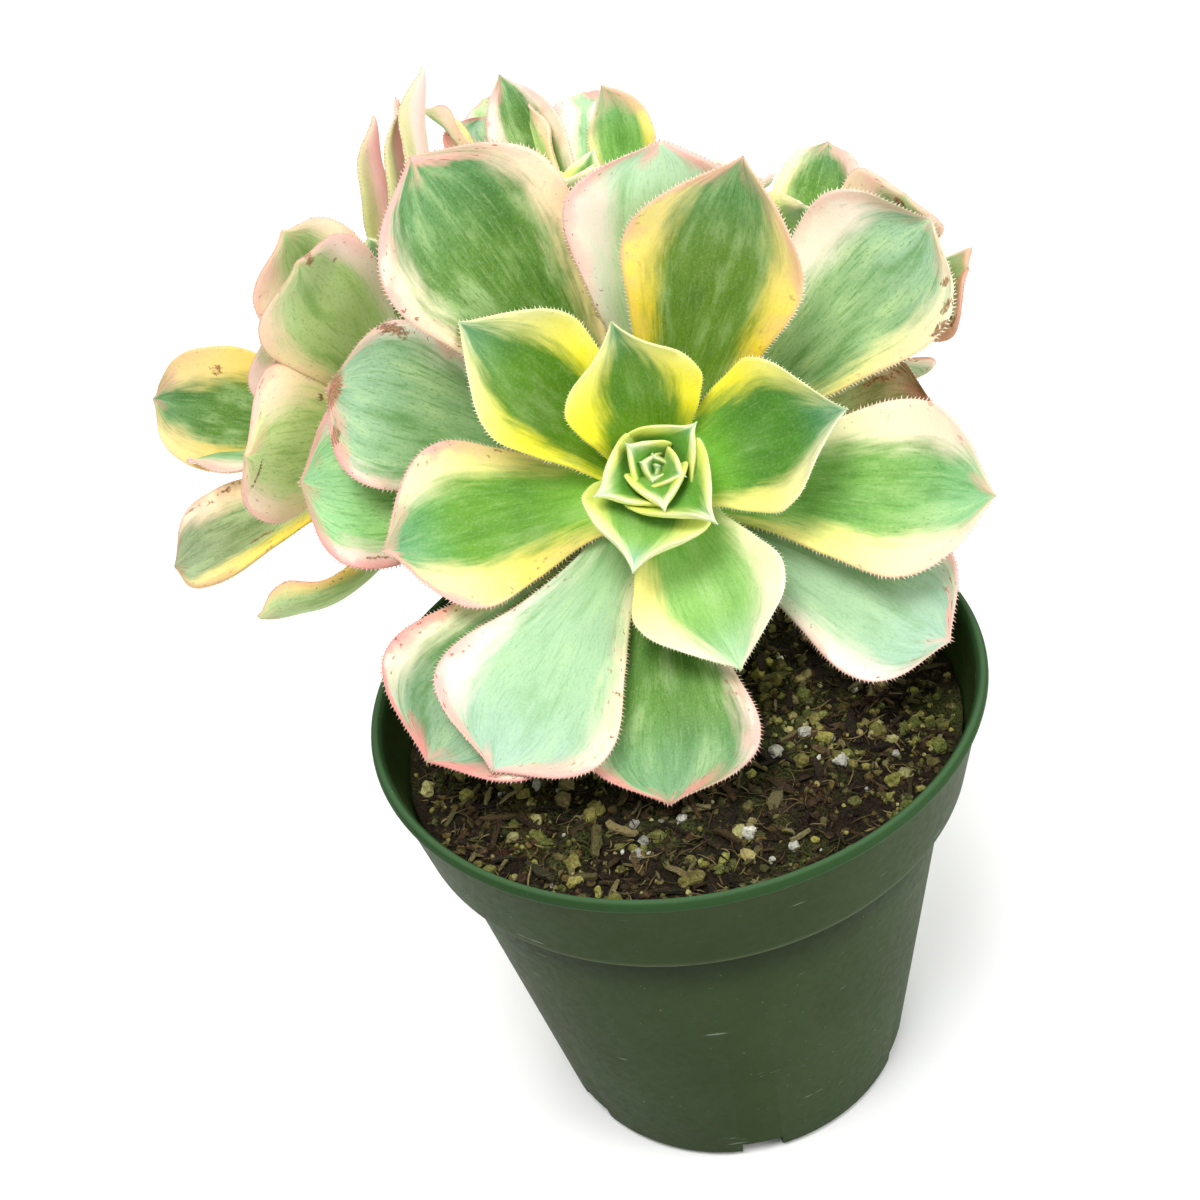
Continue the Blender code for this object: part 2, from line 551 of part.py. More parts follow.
def build_soil():
    chance = random.Random(SOIL_SEED)
    profile = [
        (0.0, FLOOR + GAP),
        (POT_BASE_RADIUS - WALL - FLOOR_FILLET[0] - GAP, FLOOR + GAP),
        (POT_BASE_RADIUS - WALL - GAP, FLOOR + FLOOR_FILLET[1] + GAP),
        (inner_radius(COLLAR_BOTTOM - SHOULDER_DROP) - GAP, COLLAR_BOTTOM - SHOULDER_DROP),
        (inner_radius(COLLAR_BOTTOM - JUST_UNDER) - GAP, COLLAR_BOTTOM + STEP_INSIDE + GAP),
        (COLLAR_BOTTOM_RADIUS - WALL - GAP, COLLAR_BOTTOM + WALL + GAP),
        (inner_radius(SOIL_LEVEL - SOIL_EDGE_DROP) - GAP, SOIL_LEVEL - SOIL_EDGE_DROP),
    ]
    profile += [(r, SOIL_LEVEL) for r in SOIL_RINGS]
    profile.append((0.0, SOIL_LEVEL))
    points, faces = lathe(profile, SOIL_SIDES)
    relief = []
    for x, y, z in points:
        if z == SOIL_LEVEL:
            z = soil_height(x, y)
            if math.hypot(x, y) > 1:
                z += chance.uniform(-SOIL_JITTER, SOIL_JITTER)
        relief.append((x, y, z))
    soil = new_object("soil", relief, faces)
    grains = helper_collection("grains")
    placed = []
    for k in range(GRAIN_COUNT + BARK_COUNT):
        bark = k >= GRAIN_COUNT
        half = chance.uniform(*BARK_LENGTHS) / 2 if bark else chance.uniform(*GRAIN_SIZES)
        for _ in range(GRAIN_TRIES):
            r = GRAIN_SPREAD * math.sqrt(chance.random())
            a = chance.uniform(0, 2 * math.pi)
            x, y = r * math.cos(a), r * math.sin(a)
            clear = all(math.hypot(x - px, y - py) > half + ph for px, py, ph in placed)
            away = math.hypot(x - TRUNK_X, y - TRUNK_Y) - TRUNK_RADIUS - half
            if r + half < GRAIN_LIMIT and clear and away > GRAIN_STEM_GAP:
                break
        else:
            continue
        placed.append((x, y, half))
        spin = chance.uniform(0, math.pi)
        tilt = chance.uniform(-GRAIN_TILT, GRAIN_TILT)
        grain = bmesh.new()
        if bark:
            bmesh.ops.create_cube(grain, size=2.0)
            size = (half, chance.uniform(*BARK_BREADTHS), chance.uniform(*BARK_DEPTHS))
        else:
            bmesh.ops.create_icosphere(grain, subdivisions=1, radius=1.0)
            size = (half, half * chance.uniform(*GRAIN_BREADTHS), half * chance.uniform(*GRAIN_DEPTHS))
        z = soil_height(x, y) + size[2] * (BARK_RISE if bark else GRAIN_RISE)
        corners = []
        for vertex in grain.verts:
            cx = vertex.co.x * size[0]
            cy = vertex.co.y * size[1]
            cz = vertex.co.z * size[2] + cx * tilt
            east = x + cx * math.cos(spin) - cy * math.sin(spin)
            north = y + cx * math.sin(spin) + cy * math.cos(spin)
            corners.append((east, north, z + cz))
        shape = [tuple(v.index for v in f.verts) for f in grain.faces]
        grain.free()
        new_object(f"grain_{k}", corners, shape, grains)
    fuse(soil, grains)
    hole = helper_collection("stem hole")
    path = ((TRUNK_X, TRUNK_Y, TRUNK_FOOT - GAP), (TRUNK_X, TRUNK_Y, POT_HEIGHT))
    radius = TRUNK_RADIUS + GAP + HOLE_EASE
    new_object("hole_cutter", *tube(path, (radius, radius), STEM_SIDES), hole)
    fuse(soil, hole, "DIFFERENCE")
    finish(soil, material("soil", SOIL_COLOUR, SOIL_ROUGHNESS), False)


def build_stems():
    foot = (TRUNK_X, TRUNK_Y, TRUNK_FOOT)
    head = (TRUNK_X, TRUNK_Y, POT_HEIGHT - TRUNK_HEAD_DROP)
    stump = [a + b for a, b in zip(FORK, STUMP)]
    radii = (TRUNK_RADIUS, TRUNK_RADIUS, TRUNK_RADIUS + FORK_SWELL, STUMP_RADIUS)
    stems = new_object("stems", *tube((foot, head, FORK, stump), radii, STEM_SIDES))
    branches = helper_collection("branches")
    for name, (centre, heading, elevation, spin, depth, knees, radius) in ROSETTES.items():
        centre, _, _, normal = rosette_frame(centre, heading, elevation, spin)
        end = centre - (depth + GAP) * normal
        path = [FORK, *knees, end - NECK * normal, end]
        swell = [radius + BRANCH_SWELL] + [radius] * (len(path) - 1)
        new_object(f"branch_{name}", *tube(path, swell, BRANCH_SIDES, last=normal), branches)
    fuse(stems, branches)
    finish(stems, material("stem_bark", BARK_COLOUR, BARK_ROUGHNESS), True)


def build_rosette(name, made):
    centre, heading, elevation, spin, depth, _, _ = ROSETTES[name]
    frame = rosette_frame(centre, heading, elevation, spin)
    middle, _, _, normal = frame
    rise, shoulder = CORE_SHOULDER
    levels = ((-depth, CORE_FOOT_RADIUS), (rise - depth, shoulder), *CORE_LEVELS)
    path = [middle + h * normal for h, _ in levels]
    core = new_object(f"rosette_{name}", *tube(path, [r for _, r in levels], BRANCH_SIDES, last=normal))
    leaves = helper_collection(f"leaves {name}")
    rows = list(LEAVES[name])
    if name in YOUNG_LEAVES:
        rows += young_rows(*YOUNG_LEAVES[name])
    for k, row in enumerate(rows):
        if row[3] < LARGE_LEAF:
            stations, columns = STATIONS_SMALL, 3
        elif row[3] >= BROAD_LEAF and name == "front":
            stations, columns = STATIONS_FRONT, 5
        else:
            stations, columns = STATIONS_SIDE, 3
        points, faces = leaf_mesh(frame, row, stations, columns)
        new_object(f"leaf_{name}_{k}", points, faces, leaves)
    fuse(core, leaves)
    finish(core, made, False)


for stale in list(bpy.data.objects):
    bpy.data.objects.remove(stale)

build_pot()
build_soil()
build_stems()
for rosette in ROSETTES:
    build_rosette(rosette, material(f"leaf_{rosette}", LEAF_COLOUR, LEAF_ROUGHNESS))
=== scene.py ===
"""Looks of the potted variegated tree aeonium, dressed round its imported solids.

Lengths are in millimetres and are brought to metres as each mesh is made. The leaves follow the same rows
as the solids do, with rounded rims, waves, teeth along the margins and colour added to them.
"""

import json
import math
import random

import bmesh
import bpy
import numpy as np
from mathutils import Matrix, Vector, noise

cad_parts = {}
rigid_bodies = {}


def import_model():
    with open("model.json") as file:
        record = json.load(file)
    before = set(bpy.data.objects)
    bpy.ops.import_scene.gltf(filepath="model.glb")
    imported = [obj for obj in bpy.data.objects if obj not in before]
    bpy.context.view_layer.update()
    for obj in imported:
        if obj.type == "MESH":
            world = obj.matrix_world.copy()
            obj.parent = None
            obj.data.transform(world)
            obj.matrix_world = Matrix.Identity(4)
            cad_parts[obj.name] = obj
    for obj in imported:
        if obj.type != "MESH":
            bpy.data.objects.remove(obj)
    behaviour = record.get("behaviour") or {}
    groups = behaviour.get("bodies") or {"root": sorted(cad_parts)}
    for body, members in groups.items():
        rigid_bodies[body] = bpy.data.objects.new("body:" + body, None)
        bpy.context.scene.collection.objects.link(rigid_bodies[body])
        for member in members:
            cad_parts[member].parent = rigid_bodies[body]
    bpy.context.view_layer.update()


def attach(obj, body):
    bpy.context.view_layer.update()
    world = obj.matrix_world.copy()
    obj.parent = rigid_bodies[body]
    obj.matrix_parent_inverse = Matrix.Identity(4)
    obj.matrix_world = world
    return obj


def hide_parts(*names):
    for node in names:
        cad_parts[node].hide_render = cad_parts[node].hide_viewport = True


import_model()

MM = 0.001

# The pot, with the same driving sizes as its solid.
SIDES = 160
POT_HEIGHT = 92.0
POT_BASE_RADIUS = 34.6
BODY_TOP_RADIUS = 46.8
COLLAR_BOTTOM = 72.2
COLLAR_BOTTOM_RADIUS = 49.8
COLLAR_TOP_RADIUS = 53.0
LIP_RADIUS = 54.0
LIP_HEIGHT = 2.4
BASE_ROUND = 1.2
WALL = 1.3
FLOOR = 1.6
EDGE_ROUND = 0.28
BEVEL_ANGLE = 12.0
CREASE_ANGLE = 35.0
SHOULDER_DROP = 2.0
SHOULDER_EASE = 0.4
STEP_ROUND = 0.9
JUST_UNDER = 0.1
FLOOR_FILLET = (0.8, 0.6)
LIP_LOW_CORNER = (0.3, 0.4)
LIP_BELLY = 1.1
LIP_HIGH_CORNER = (0.2, 0.5)
LIP_CROWN = 0.8
LIP_INSIDE = ((1.0, 0.0), (0.25, 0.9), (0.0, 2.2))
DRAIN_COUNT = 6
DRAIN_WIDTH = 9.0
DRAIN_REACH = 6.0
DRAIN_HEIGHT = 4.0
DRAIN_TAPER = 0.72
DRAIN_OVERSHOOT = 4.0

# The soil: level and relief as in the solid, then what lies on it.
GAP = 0.3
SOIL_LEVEL = 80.6
SOIL_MOUND = 2.2
SOIL_RELIEF = 0.7
SOIL_RADIUS = 49.4
SOIL_EDGE_DROP = 3.0
MOUND_REACH = 24.0
WAVE_EAST = (0.31, 1.1)
WAVE_NORTH = (0.27, -0.4)
WAVE_SKEW = (0.62, -0.55, 2.0, 0.6)
CLOD_SCALE = 0.22
CLOD_HEIGHT = 0.9
SOIL_RINGS = 64
SOIL_RING_POWER = 0.8
SOIL_SPOKES = 220
CRUMB_COUNT = 2600
GRIT_COUNT = 1200
CHIP_COUNT = 620
FIBRE_COUNT = 1500
SOIL_SEED = 5
CLUSTER_COUNT = 26
CLUSTER_SPREAD = 4.0
# Least size, what the largest adds to it and the power that makes the large ones rare.
GRIT_SIZES = (0.34, 1.35, 3.2)
CRUMB_SIZES = (0.25, 0.85, 1.6)
CHIP_LENGTHS = (1.2, 6.0, 2.6)
CHIP_BREADTHS = (0.12, 0.34)
CHIP_DEPTHS = (0.25, 0.7)
CHIP_BOWS = (-0.3, 0.5)
CHIP_REST = 0.55
FIBRE_LENGTHS = (1.2, 5.5)
FIBRE_RADII = (0.09, 0.24)
FIBRE_RESTS = (0.4, 1.2)
SPIN = (0.0, 6.3)
GRIT_TONES = ("#aca652", "#908e42", "#767a38", "#c0ba78", "#687030", "#a09850", "#8c8644", "#b4a468",
              "#7c7638", "#989a4e", "#e4e2d0")
CRUMB_TONES = ("#33271a", "#453624", "#1d160e", "#4c3e24", "#5a4c26", "#4c4c26", "#3c2c1a", "#625a34")
CHIP_TONES = ("#33281a", "#4a3a22", "#221a10", "#5a4a2c", "#43301c", "#5c5832", "#2e2c18", "#80744c",
              "#1c160e", "#6e6a42", "#8c845a")
FIBRE_TONES = ("#54462c", "#6c5c38", "#382c1c", "#8c7c50", "#4a4c26", "#241c12")

# The stem: trunk and branches as in the solid.
TRUNK_X = 2.0
TRUNK_Y = 34.0
TRUNK_RADIUS = 5.5
TRUNK_FOOT = 61.0
FORK = (2.5, 36.0, 91.0)
NECK = 6.0
STEM_SIDES = 28
STEM_PITCH = 0.8
SCAR_RINGS = (0.16, 1.9, 0.1)
BARK_RELIEF = 0.28
CORE_SIDES = 24
# The core of a head: height over the bud's centre and radius. Its foot lies at the core's own depth.
CORE_FOOT_RADIUS = 4.8
CORE_SWELLS_IN = 3.0
CORE_RADIUS = 5.8
CORE_TOP = ((-7.0, 5.8), (-2.0, 4.6), (1.5, 3.0), (3.2, 1.4))

# Each rosette: centre of its bud, heading of its axis from -Y towards +X, the axis's elevation, spin of its
# azimuths (degrees), how far its core reaches behind the bud, the knees and the radius of its branch.
ROSETTES = {
    "front": ((4.0, 17.0, 122.0), -3.0, 45.0, -11.0, 18.0, ((3.5, 37.0, 97.0),), 4.4),
    "left": ((-43.0, 62.0, 123.0), -120.0, 40.0, 0.0, 13.0, ((-11.0, 44.0, 97.0), (-26.0, 52.0, 106.0)), 3.7),
    "back": ((0.0, 67.0, 148.0), 180.0, 80.0, 0.0, 13.0, ((1.0, 51.0, 104.0), (0.0, 62.0, 120.0)), 3.9),
    "right": ((43.0, 61.0, 129.0), 130.0, 40.0, 0.0, 13.0, ((14.0, 43.0, 99.0), (29.0, 50.0, 113.0)), 3.7),
}

# Each leaf: azimuth in its rosette, radius and height of its root on the core, length, width, lift off the
# rosette's plane at the root, bend (the lift it gains towards the tip), cupping, roll about its midrib, age
# (0 is a young leaf, widest near its middle; 1 is a mature one, widest near its tip). Then its colouring: the
# centre, the left margin and its share of the half-width, the right margin and its share, the rim and how
# strong it is.
LEAVES = {
    "front": (
        (274, 5, -14, 55, 31, 24, -6, 0.25, 0, 1.0, "grass", "blush", 0.16, "butter", 0.16, "rose", 0.9),
        (234, 5, -14, 61, 34, 24, -8, 0.20, 0, 1.0, "sage", "blush", 0.12, "cream", 0.14, "rose", 1.0),
        (43, 5, -14, 62, 31, 20, 8, 0.25, 0, 1.0, "sage", "white", 0.39, "butter", 0.20, "pink", 0.4),
        (182, 5, -14, 59, 32, 14, 0, 0.20, 0, 1.0, "dewy", "blush", 0.20, "cream", 0.40, "rose", 0.8),
        (167, 5, -14, 57, 30, 21, 0, 0.20, 0, 1.0, "sage", "blush", 0.10, "white", 0.16, "rose", 0.9),
        (90, 5, -14, 59, 32, 36, 10, 0.25, 0, 1.0, "mist", "white", 0.36, "blush", 0.26, "pink", 0.9),
        (19, 5, -16, 46, 28, 9, 0, 0.20, 0, 1.0, "rust", "blush", 0.30, "blush", 0.30, "rust", 1.0),
        (331, 5, -13, 54, 28, 16, 0, 0.20, 0, 1.0, "mint", "white", 0.16, "white", 0.26, "pink", 0.9),
        (131, 5, -10, 67, 35, 28, 10, 0.30, 0, 0.9, "leaf", "cream", 0.20, "peach", 0.28, "pink", 1.0),
        (244, 5, -10, 56, 32, 23, -6, 0.25, 0, 1.0, "mint", "cream", 0.16, "white", 0.28, "pink", 0.9),
        (356, 5, -9, 54, 31, 15, 6, 0.30, 0, 0.8, "fresh", "cream", 0.34, "butter", 0.36, "pink", 0.6),
        (74, 5, -9, 56, 31, 33, 14, 0.35, 0, 0.7, "moss", "gold", 0.30, "gold", 0.29, "pink", 0.65),
        (198, 4, -7, 46, 30, 14, 4, 0.30, 0, 0.7, "lime", "sun", 0.38, "butter", 0.34, "pink", 1.0),
        (294, 4, -6, 35, 27, 20, 0, 0.30, 0, 0.5, "pale", "cream", 0.32, "butter", 0.38, "cream", 0.3),
        (146, 4, -5, 41, 25, 24, 10, 0.35, 0, 0.5, "deep", "lemon", 0.33, "lemon", 0.40, "cream", 0.4),
        (16, 4, -4, 33, 27, 26, 10, 0.35, 0, 0.4, "jade", "lemon", 0.32, "butter", 0.36, "cream", 0.3),
        (109, 4, -3, 28, 24, 41, 15, 0.40, 0, 0.3, "deep", "lemon", 0.54, "lemon", 0.46, "cream", 0.2),
        (261, 3, -1, 21, 22, 45, -10, 0.40, 0, 0.1, "bud", "pith", 0.48, "pith", 0.38, "cream", 0.6),
        (46, 3, 1, 11, 15, 58, -10, 0.40, 0, 0.1, "heart", "pith", 0.40, "pith", 0.44, "cream", 0.6),
        (213, 3, 1, 14, 15, 57, -10, 0.40, 0, 0.1, "heart", "pith", 0.44, "pith", 0.40, "cream", 0.6),
        (314, 3, 1, 18, 17, 53, -10, 0.40, 0, 0.1, "heart", "pith", 0.42, "pith", 0.42, "cream", 0.6),
        (283, 2, 3, 12, 11, 60, -10, 0.40, 0, 0.1, "heart", "pith", 0.44, "pith", 0.40, "cream", 0.6),
        (336, 2, 4, 7, 8, 64, -10, 0.40, 0, 0.1, "heart", "pith", 0.30, "pith", 0.34, "cream", 0.6),
        (148, 2, 3, 8, 10, 66, -8, 0.40, 0, 0.1, "heart", "pith", 0.40, "pith", 0.36, "cream", 0.6),
        (170, 1, 3, 5, 6, 76, -6, 0.40, 0, 0.1, "heart", "pith", 0.26, "pith", 0.26, "cream", 0.6),
        (105, 1, 3, 4, 6, 76, -6, 0.40, 0, 0.1, "heart", "pith", 0.20, "pith", 0.20, "cream", 0.6),
        (262, 1, 3, 4, 6, 68, -6, 0.40, 0, 0.1, "heart", "pith", 0.24, "pith", 0.24, "cream", 0.6),
        (20, 0, 3, 3, 4, 80, -4, 0.40, 0, 0.1, "heart", "pith", 0.20, "pith", 0.20, "cream", 0.6),
    ),
    "left": (
        (64, 5, -6, 46, 24, 43, 10, 0.25, 6, 0.7, "olive", "peach", 0.36, "peach", 0.36, "rose", 0.7),
        (58, 5, -6, 45, 26, 34, 10, 0.25, 4, 0.7, "olive", "blush", 0.30, "peach", 0.24, "rose", 0.8),
        (39, 5, -8, 37, 26, 48, 10, 0.25, 0, 0.7, "olive", "blush", 0.40, "blush", 0.44, "rose", 0.9),
        (270, 5, -6, 60, 26, 47, 10, 0.25, 45, 0.6, "leaf", "amber", 0.34, "amber", 0.44, "pink", 0.5),
        (281, 5, -8, 49, 26, 42, 6, 0.25, 10, 0.7, "frost", "blush", 0.44, "white", 0.44, "pink", 0.8),
        (7, 5, -8, 38, 31, 26, 8, 0.25, -30, 0.7, "celery", "peach", 0.36, "peach", 0.34, "rose", 0.9),
        (304, 5, -10, 54, 22, 24, 6, 0.25, 50, 1.0, "moor", "gold", 0.30, "peach", 0.36, "rust", 0.6),
        (324, 5, -10, 49, 13, -47, 105, 0.25, -19, 1.0, "olive", "gold", 0.20, "peach", 0.24, "rose", 0.9),
        (121, 5, -7, 53, 17, 44, 8, 0.25, -3, 0.6, "shell", "fern", 0.22, "fern", 0.22, "pink", 0.3),
        (118, 5, -8, 56, 18, 39, 8, 0.25, -6, 0.6, "shell", "fern", 0.22, "fern", 0.22, "pink", 0.3),
        (121, 5, -9, 62, 19, 35, 8, 0.25, -2, 0.6, "shell", "fern", 0.22, "fern", 0.22, "pink", 0.3),
        (150, 5, -6, 36, 24, 34, 8, 0.25, 0, 0.7, "lime", "butter", 0.30, "lemon", 0.34, "cream", 0.4),
        (182, 5, -6, 40, 25, 30, 8, 0.25, 0, 0.7, "fresh", "cream", 0.30, "cream", 0.26, "pink", 0.6),
        (213, 5, -6, 42, 26, 30, 8, 0.25, 0, 0.7, "mint", "white", 0.26, "cream", 0.30, "pink", 0.7),
        (243, 5, -6, 42, 26, 32, 8, 0.25, 0, 0.7, "fresh", "cream", 0.28, "butter", 0.24, "pink", 0.7),
        (88, 5, -6, 34, 22, 40, 8, 0.25, 0, 0.6, "lime", "butter", 0.30, "lemon", 0.30, "cream", 0.4),
    ),
    "back": (
        (283, 5, -5, 45, 15, 34, 10, 0.25, 16, 0.3, "leaf", "blush", 0.30, "blush", 0.30, "rose", 0.8),
        (279, 4, -4, 35, 9, 33, 10, 0.35, 62, 0.6, "olive", "blush", 0.50, "peach", 0.50, "rose", 0.9),
        (224, 5, -6, 32, 13, 27, 93, 0.25, -47, 0.6, "fresh", "butter", 0.24, "gold", 0.24, "pink", 0.7),
        (310, 5, -6, 42, 10, 36, 10, 0.25, -40, 0.7, "olive", "peach", 0.44, "gold", 0.40, "rose", 0.8),
        (290, 5, -8, 42, 24, 30, 10, 0.25, 0, 1.0, "sage", "blush", 0.34, "white", 0.34, "rose", 0.9),
        (286, 5, -9, 50, 13, 28, 10, 0.25, 12, 1.0, "olive", "blush", 0.40, "peach", 0.40, "rose", 1.0),
        (83, 4, -5, 33, 18, 35, 8, 0.30, 0, 0.6, "lime", "butter", 0.34, "lemon", 0.34, "cream", 0.4),
        (338, 5, -7, 24, 20, 24, 8, 0.25, 0, 0.8, "mint", "white", 0.28, "cream", 0.28, "pink", 0.5),
        (12, 5, -8, 24, 20, 14, 8, 0.25, 0, 0.9, "fresh", "cream", 0.28, "white", 0.28, "pink", 0.6),
        (48, 5, -6, 34, 22, 22, 8, 0.25, 0, 0.8, "lime", "butter", 0.30, "lemon", 0.32, "cream", 0.4),
        (128, 5, -6, 34, 22, 20, 8, 0.25, 0, 0.8, "fresh", "cream", 0.28, "sun", 0.30, "pink", 0.5),
        (165, 5, -8, 27, 22, 8, 8, 0.25, 0, 0.9, "mint", "white", 0.26, "white", 0.30, "pink", 0.7),
        (200, 5, -7, 36, 25, 4, 8, 0.25, 0, 1.0, "fresh", "cream", 0.26, "white", 0.26, "pink", 0.7),
        (232, 5, -8, 44, 26, 2, 8, 0.25, 0, 1.0, "sage", "blush", 0.20, "cream", 0.20, "rose", 0.8),
        (262, 5, -9, 59, 13, 18, 8, 0.25, -10, 1.0, "frost", "blush", 0.60, "white", 0.60, "pink", 1.0),
        (318, 5, -10, 25, 20, 14, 8, 0.25, 0, 0.9, "sage", "blush", 0.20, "cream", 0.20, "rose", 0.8),
    ),
    "right": (
        (330, 5, -6, 44, 18, 63, 0, 0.25, 30, 0.5, "leaf", "butter", 0.34, "white", 0.20, "pink", 0.8),
        (136, 5, -6, 39, 19, 21, 10, 0.25, 14, 1.0, "frost", "peach", 0.50, "peach", 0.50, "pink", 0.8),
        (159, 5, -8, 39, 18, 11, 14, 0.25, 90, 1.0, "moss", "peach", 0.16, "peach", 0.14, "red", 1.0),
        (196, 5, -8, 22, 20, 14, 8, 0.25, 0, 1.0, "sage", "blush", 0.20, "blush", 0.20, "rose", 0.9),
        (230, 5, -7, 24, 20, 20, 8, 0.25, 0, 1.0, "fresh", "cream", 0.26, "white", 0.26, "pink", 0.7),
        (262, 5, -7, 34, 24, 22, 8, 0.25, 0, 0.9, "mint", "white", 0.26, "white", 0.28, "pink", 0.6),
        (294, 5, -7, 38, 25, 26, 8, 0.25, 0, 0.8, "fresh", "cream", 0.28, "sun", 0.30, "pink", 0.6),
        (340, 5, -8, 26, 20, 22, 8, 0.25, 0, 0.9, "lime", "butter", 0.30, "lemon", 0.30, "cream", 0.4),
        (18, 5, -8, 24, 18, 16, 8, 0.25, 0, 0.9, "fresh", "cream", 0.28, "white", 0.28, "pink", 0.6),
        (108, 5, -6, 25, 20, 24, 8, 0.25, 0, 0.8, "lime", "butter", 0.30, "lemon", 0.30, "pink", 0.5),
        (246, 5, -10, 24, 22, 6, 8, 0.25, 0, 1.0, "sage", "blush", 0.20, "cream", 0.20, "rose", 0.9),
    ),
}

# Young leaves round the buds of the side rosettes: first azimuth and length of the longest.
YOUNG_LEAVES = {"left": (20.0, 24.0), "back": (40.0, 18.0), "right": (70.0, 18.0)}
YOUNG_COUNT = 7
GOLDEN_ANGLE = 137.5
YOUNG_COLOURS = ("heart", "pith", 0.38, "pith", 0.38, "cream", 0.6)

# Brown marks: rosette and leaf, then place across and along the blade, and reach across and along it, in mm.
SCARS = {
    ("front", 2): ((9.5, 57.5, 1.0, 2.5), (12.8, 55.0, 1.1, 3.0), (14.8, 51.5, 0.9, 2.5)),
    ("front", 3): ((-13.5, 46.0, 0.8, 4.0), (-12.5, 38.0, 0.6, 3.0), (-15.0, 40.0, 0.8, 2.0)),
    ("front", 4): ((0.0, 55.6, 5.0, 1.5), (12.5, 49.0, 1.6, 4.5), (-8.0, 53.5, 3.0, 1.2)),
    ("front", 6): ((-6.0, 40.0, 1.0, 7.0), (2.0, 45.0, 9.0, 1.0)),
    ("left", 1): ((-2.0, 43.0, 1.4, 1.2), (-6.0, 38.0, 0.8, 0.8)),
    ("left", 3): ((8.0, 44.0, 1.6, 2.0),),
    ("left", 5): ((4.0, 34.0, 4.0, 0.6), (-9.0, 22.0, 1.0, 1.4), (1.0, 22.0, 0.9, 0.9)),
    ("left", 6): ((9.0, 42.0, 0.7, 9.0), (-4.0, 34.0, 0.7, 5.0)),
    ("right", 1): ((0.0, 37.0, 1.6, 1.2),),
    ("right", 2): ((-7.0, 33.0, 1.0, 3.0),),
}

# The blade's centre: tones at its root, at its middle and towards its tip.
CENTRES = {
    "deep": ("#7ca818", "#52820e", "#528656"),
    "moss": ("#80a42c", "#5e8420", "#56884e"),
    "jade": ("#8acc3e", "#4c8424", "#488860"),
    "lime": ("#90d03c", "#63982a", "#62a070"),
    "pale": ("#8acc48", "#86b85c", "#a6cea0"),
    "leaf": ("#7aa034", "#568026", "#5e8e58"),
    "fresh": ("#90c650", "#78ac50", "#7cb47c"),
    "grass": ("#70a434", "#5a8830", "#78a676"),
    "mint": ("#a0c684", "#a0c49a", "#a2c4ac"),
    "mist": ("#b8dc98", "#c0e4ae", "#c0e0c0"),
    "frost": ("#84ac60", "#8cb67c", "#98c498"),
    "sage": ("#88ae58", "#8ab078", "#90b492"),
    "dewy": ("#98cc5c", "#8cc45c", "#90c88c"),
    "olive": ("#c0d868", "#b6d47c", "#bcd49c"),
    "celery": ("#d0e478", "#d4e890", "#d8e8a4"),
    "shell": ("#ecd4b4", "#fcdcd4", "#fcd0cc"),
    "moor": ("#98a850", "#8c9c66", "#8c9c78"),
    "rust": ("#8c9850", "#9c9c60", "#ac8a64"),
    "bud": ("#90bc34", "#78aa4c", "#84b898"),
    "heart": ("#64981c", "#609c34", "#7eb688"),
}
# How strongly each centre is mottled with paler and darker clouds.
MOTTLE = {"deep": 0.4, "moss": 0.6, "jade": 0.4, "lime": 0.5, "pale": 0.5, "leaf": 0.8, "fresh": 0.8,
          "grass": 0.7, "mint": 0.45, "mist": 0.6, "frost": 0.9, "sage": 1.0, "dewy": 0.9,
          "olive": 0.8, "celery": 0.8, "shell": 0.2, "moor": 0.9, "rust": 1.0, "bud": 0.4, "heart": 0.2}
# The margins: tones along the blade and towards its tip.
MARGINS = {
    "lemon": ("#f6ea30", "#f6f2a4"),
    "pith": ("#e4ea72", "#f2f6be"),
    "sun": ("#f4e268", "#f6e4b0"),
    "gold": ("#f5da3c", "#f4e29a"),
    "amber": ("#f2cc4c", "#f6dc9c"),
    "butter": ("#f2e886", "#f2ecc6"),
    "cream": ("#eeecb8", "#f2e0c8"),
    "white": ("#e6ecd0", "#f0ded0"),
    "peach": ("#f8e4a0", "#f8dcc0"),
    "blush": ("#eee0c2", "#f0d0c4"),
    "fern": ("#b8c878", "#c8c890"),
}
RIMS = {"cream": "#f4f2c8", "pink": "#f0aaa2", "rose": "#e28c86", "red": "#dc7670", "rust": "#b0705a"}
UNDERSIDE = "#c0d084"
UNDERSIDE_SHARE = 0.34
UNDERSIDE_RIM = 0.55
CORE_TONE = "#7d9048"

# The leaf's outline: half-width as a share of the greatest, at stations that run 0 to 1 up to the widest
# point and 1 to 2 from there on to the tip, which ends in a small point.
OUTLINE_STATIONS = (0.0, 0.35, 0.7, 1.0, 1.2, 1.4, 1.55, 1.7, 1.82, 1.92, 2.0)
OUTLINE_YOUNG = (0.55, 0.80, 0.96, 1.0, 0.92, 0.74, 0.55, 0.32, 0.14, 0.04, 0.0)
OUTLINE_MATURE = (0.27, 0.38, 0.72, 1.0, 0.985, 0.925, 0.82, 0.65, 0.40, 0.15, 0.0)
WIDEST_YOUNG = 0.45
WIDEST_GAIN = 0.35
WIDEST_IN_HEART = 0.24
HEART_CUPPING = 0.22
# How slowly the tips lose their drawn-out shape with age.
TIP_AGEING = {"front": 1.3, "left": 0.6, "back": 0.6, "right": 0.6}
ROOT_SINK = 3.5
TIP_HALF_WIDTH = 0.12
EDGE_THICKNESS = 0.9
EDGE_RADIUS = 0.55
HEART_EDGE = 1.5
BELLY_THICKNESS = 1.3
ROOT_THICKNESS = 1.0
WAVE = 0.8
BLEND = 0.18
BEAK = 1.4
TIP_FOLD = 0.35
GROOVE_DEPTH = 0.35
GROOVE_WIDTH = 0.16
FULL_LENGTH = 45.0
BELLY_LENGTH = 30.0
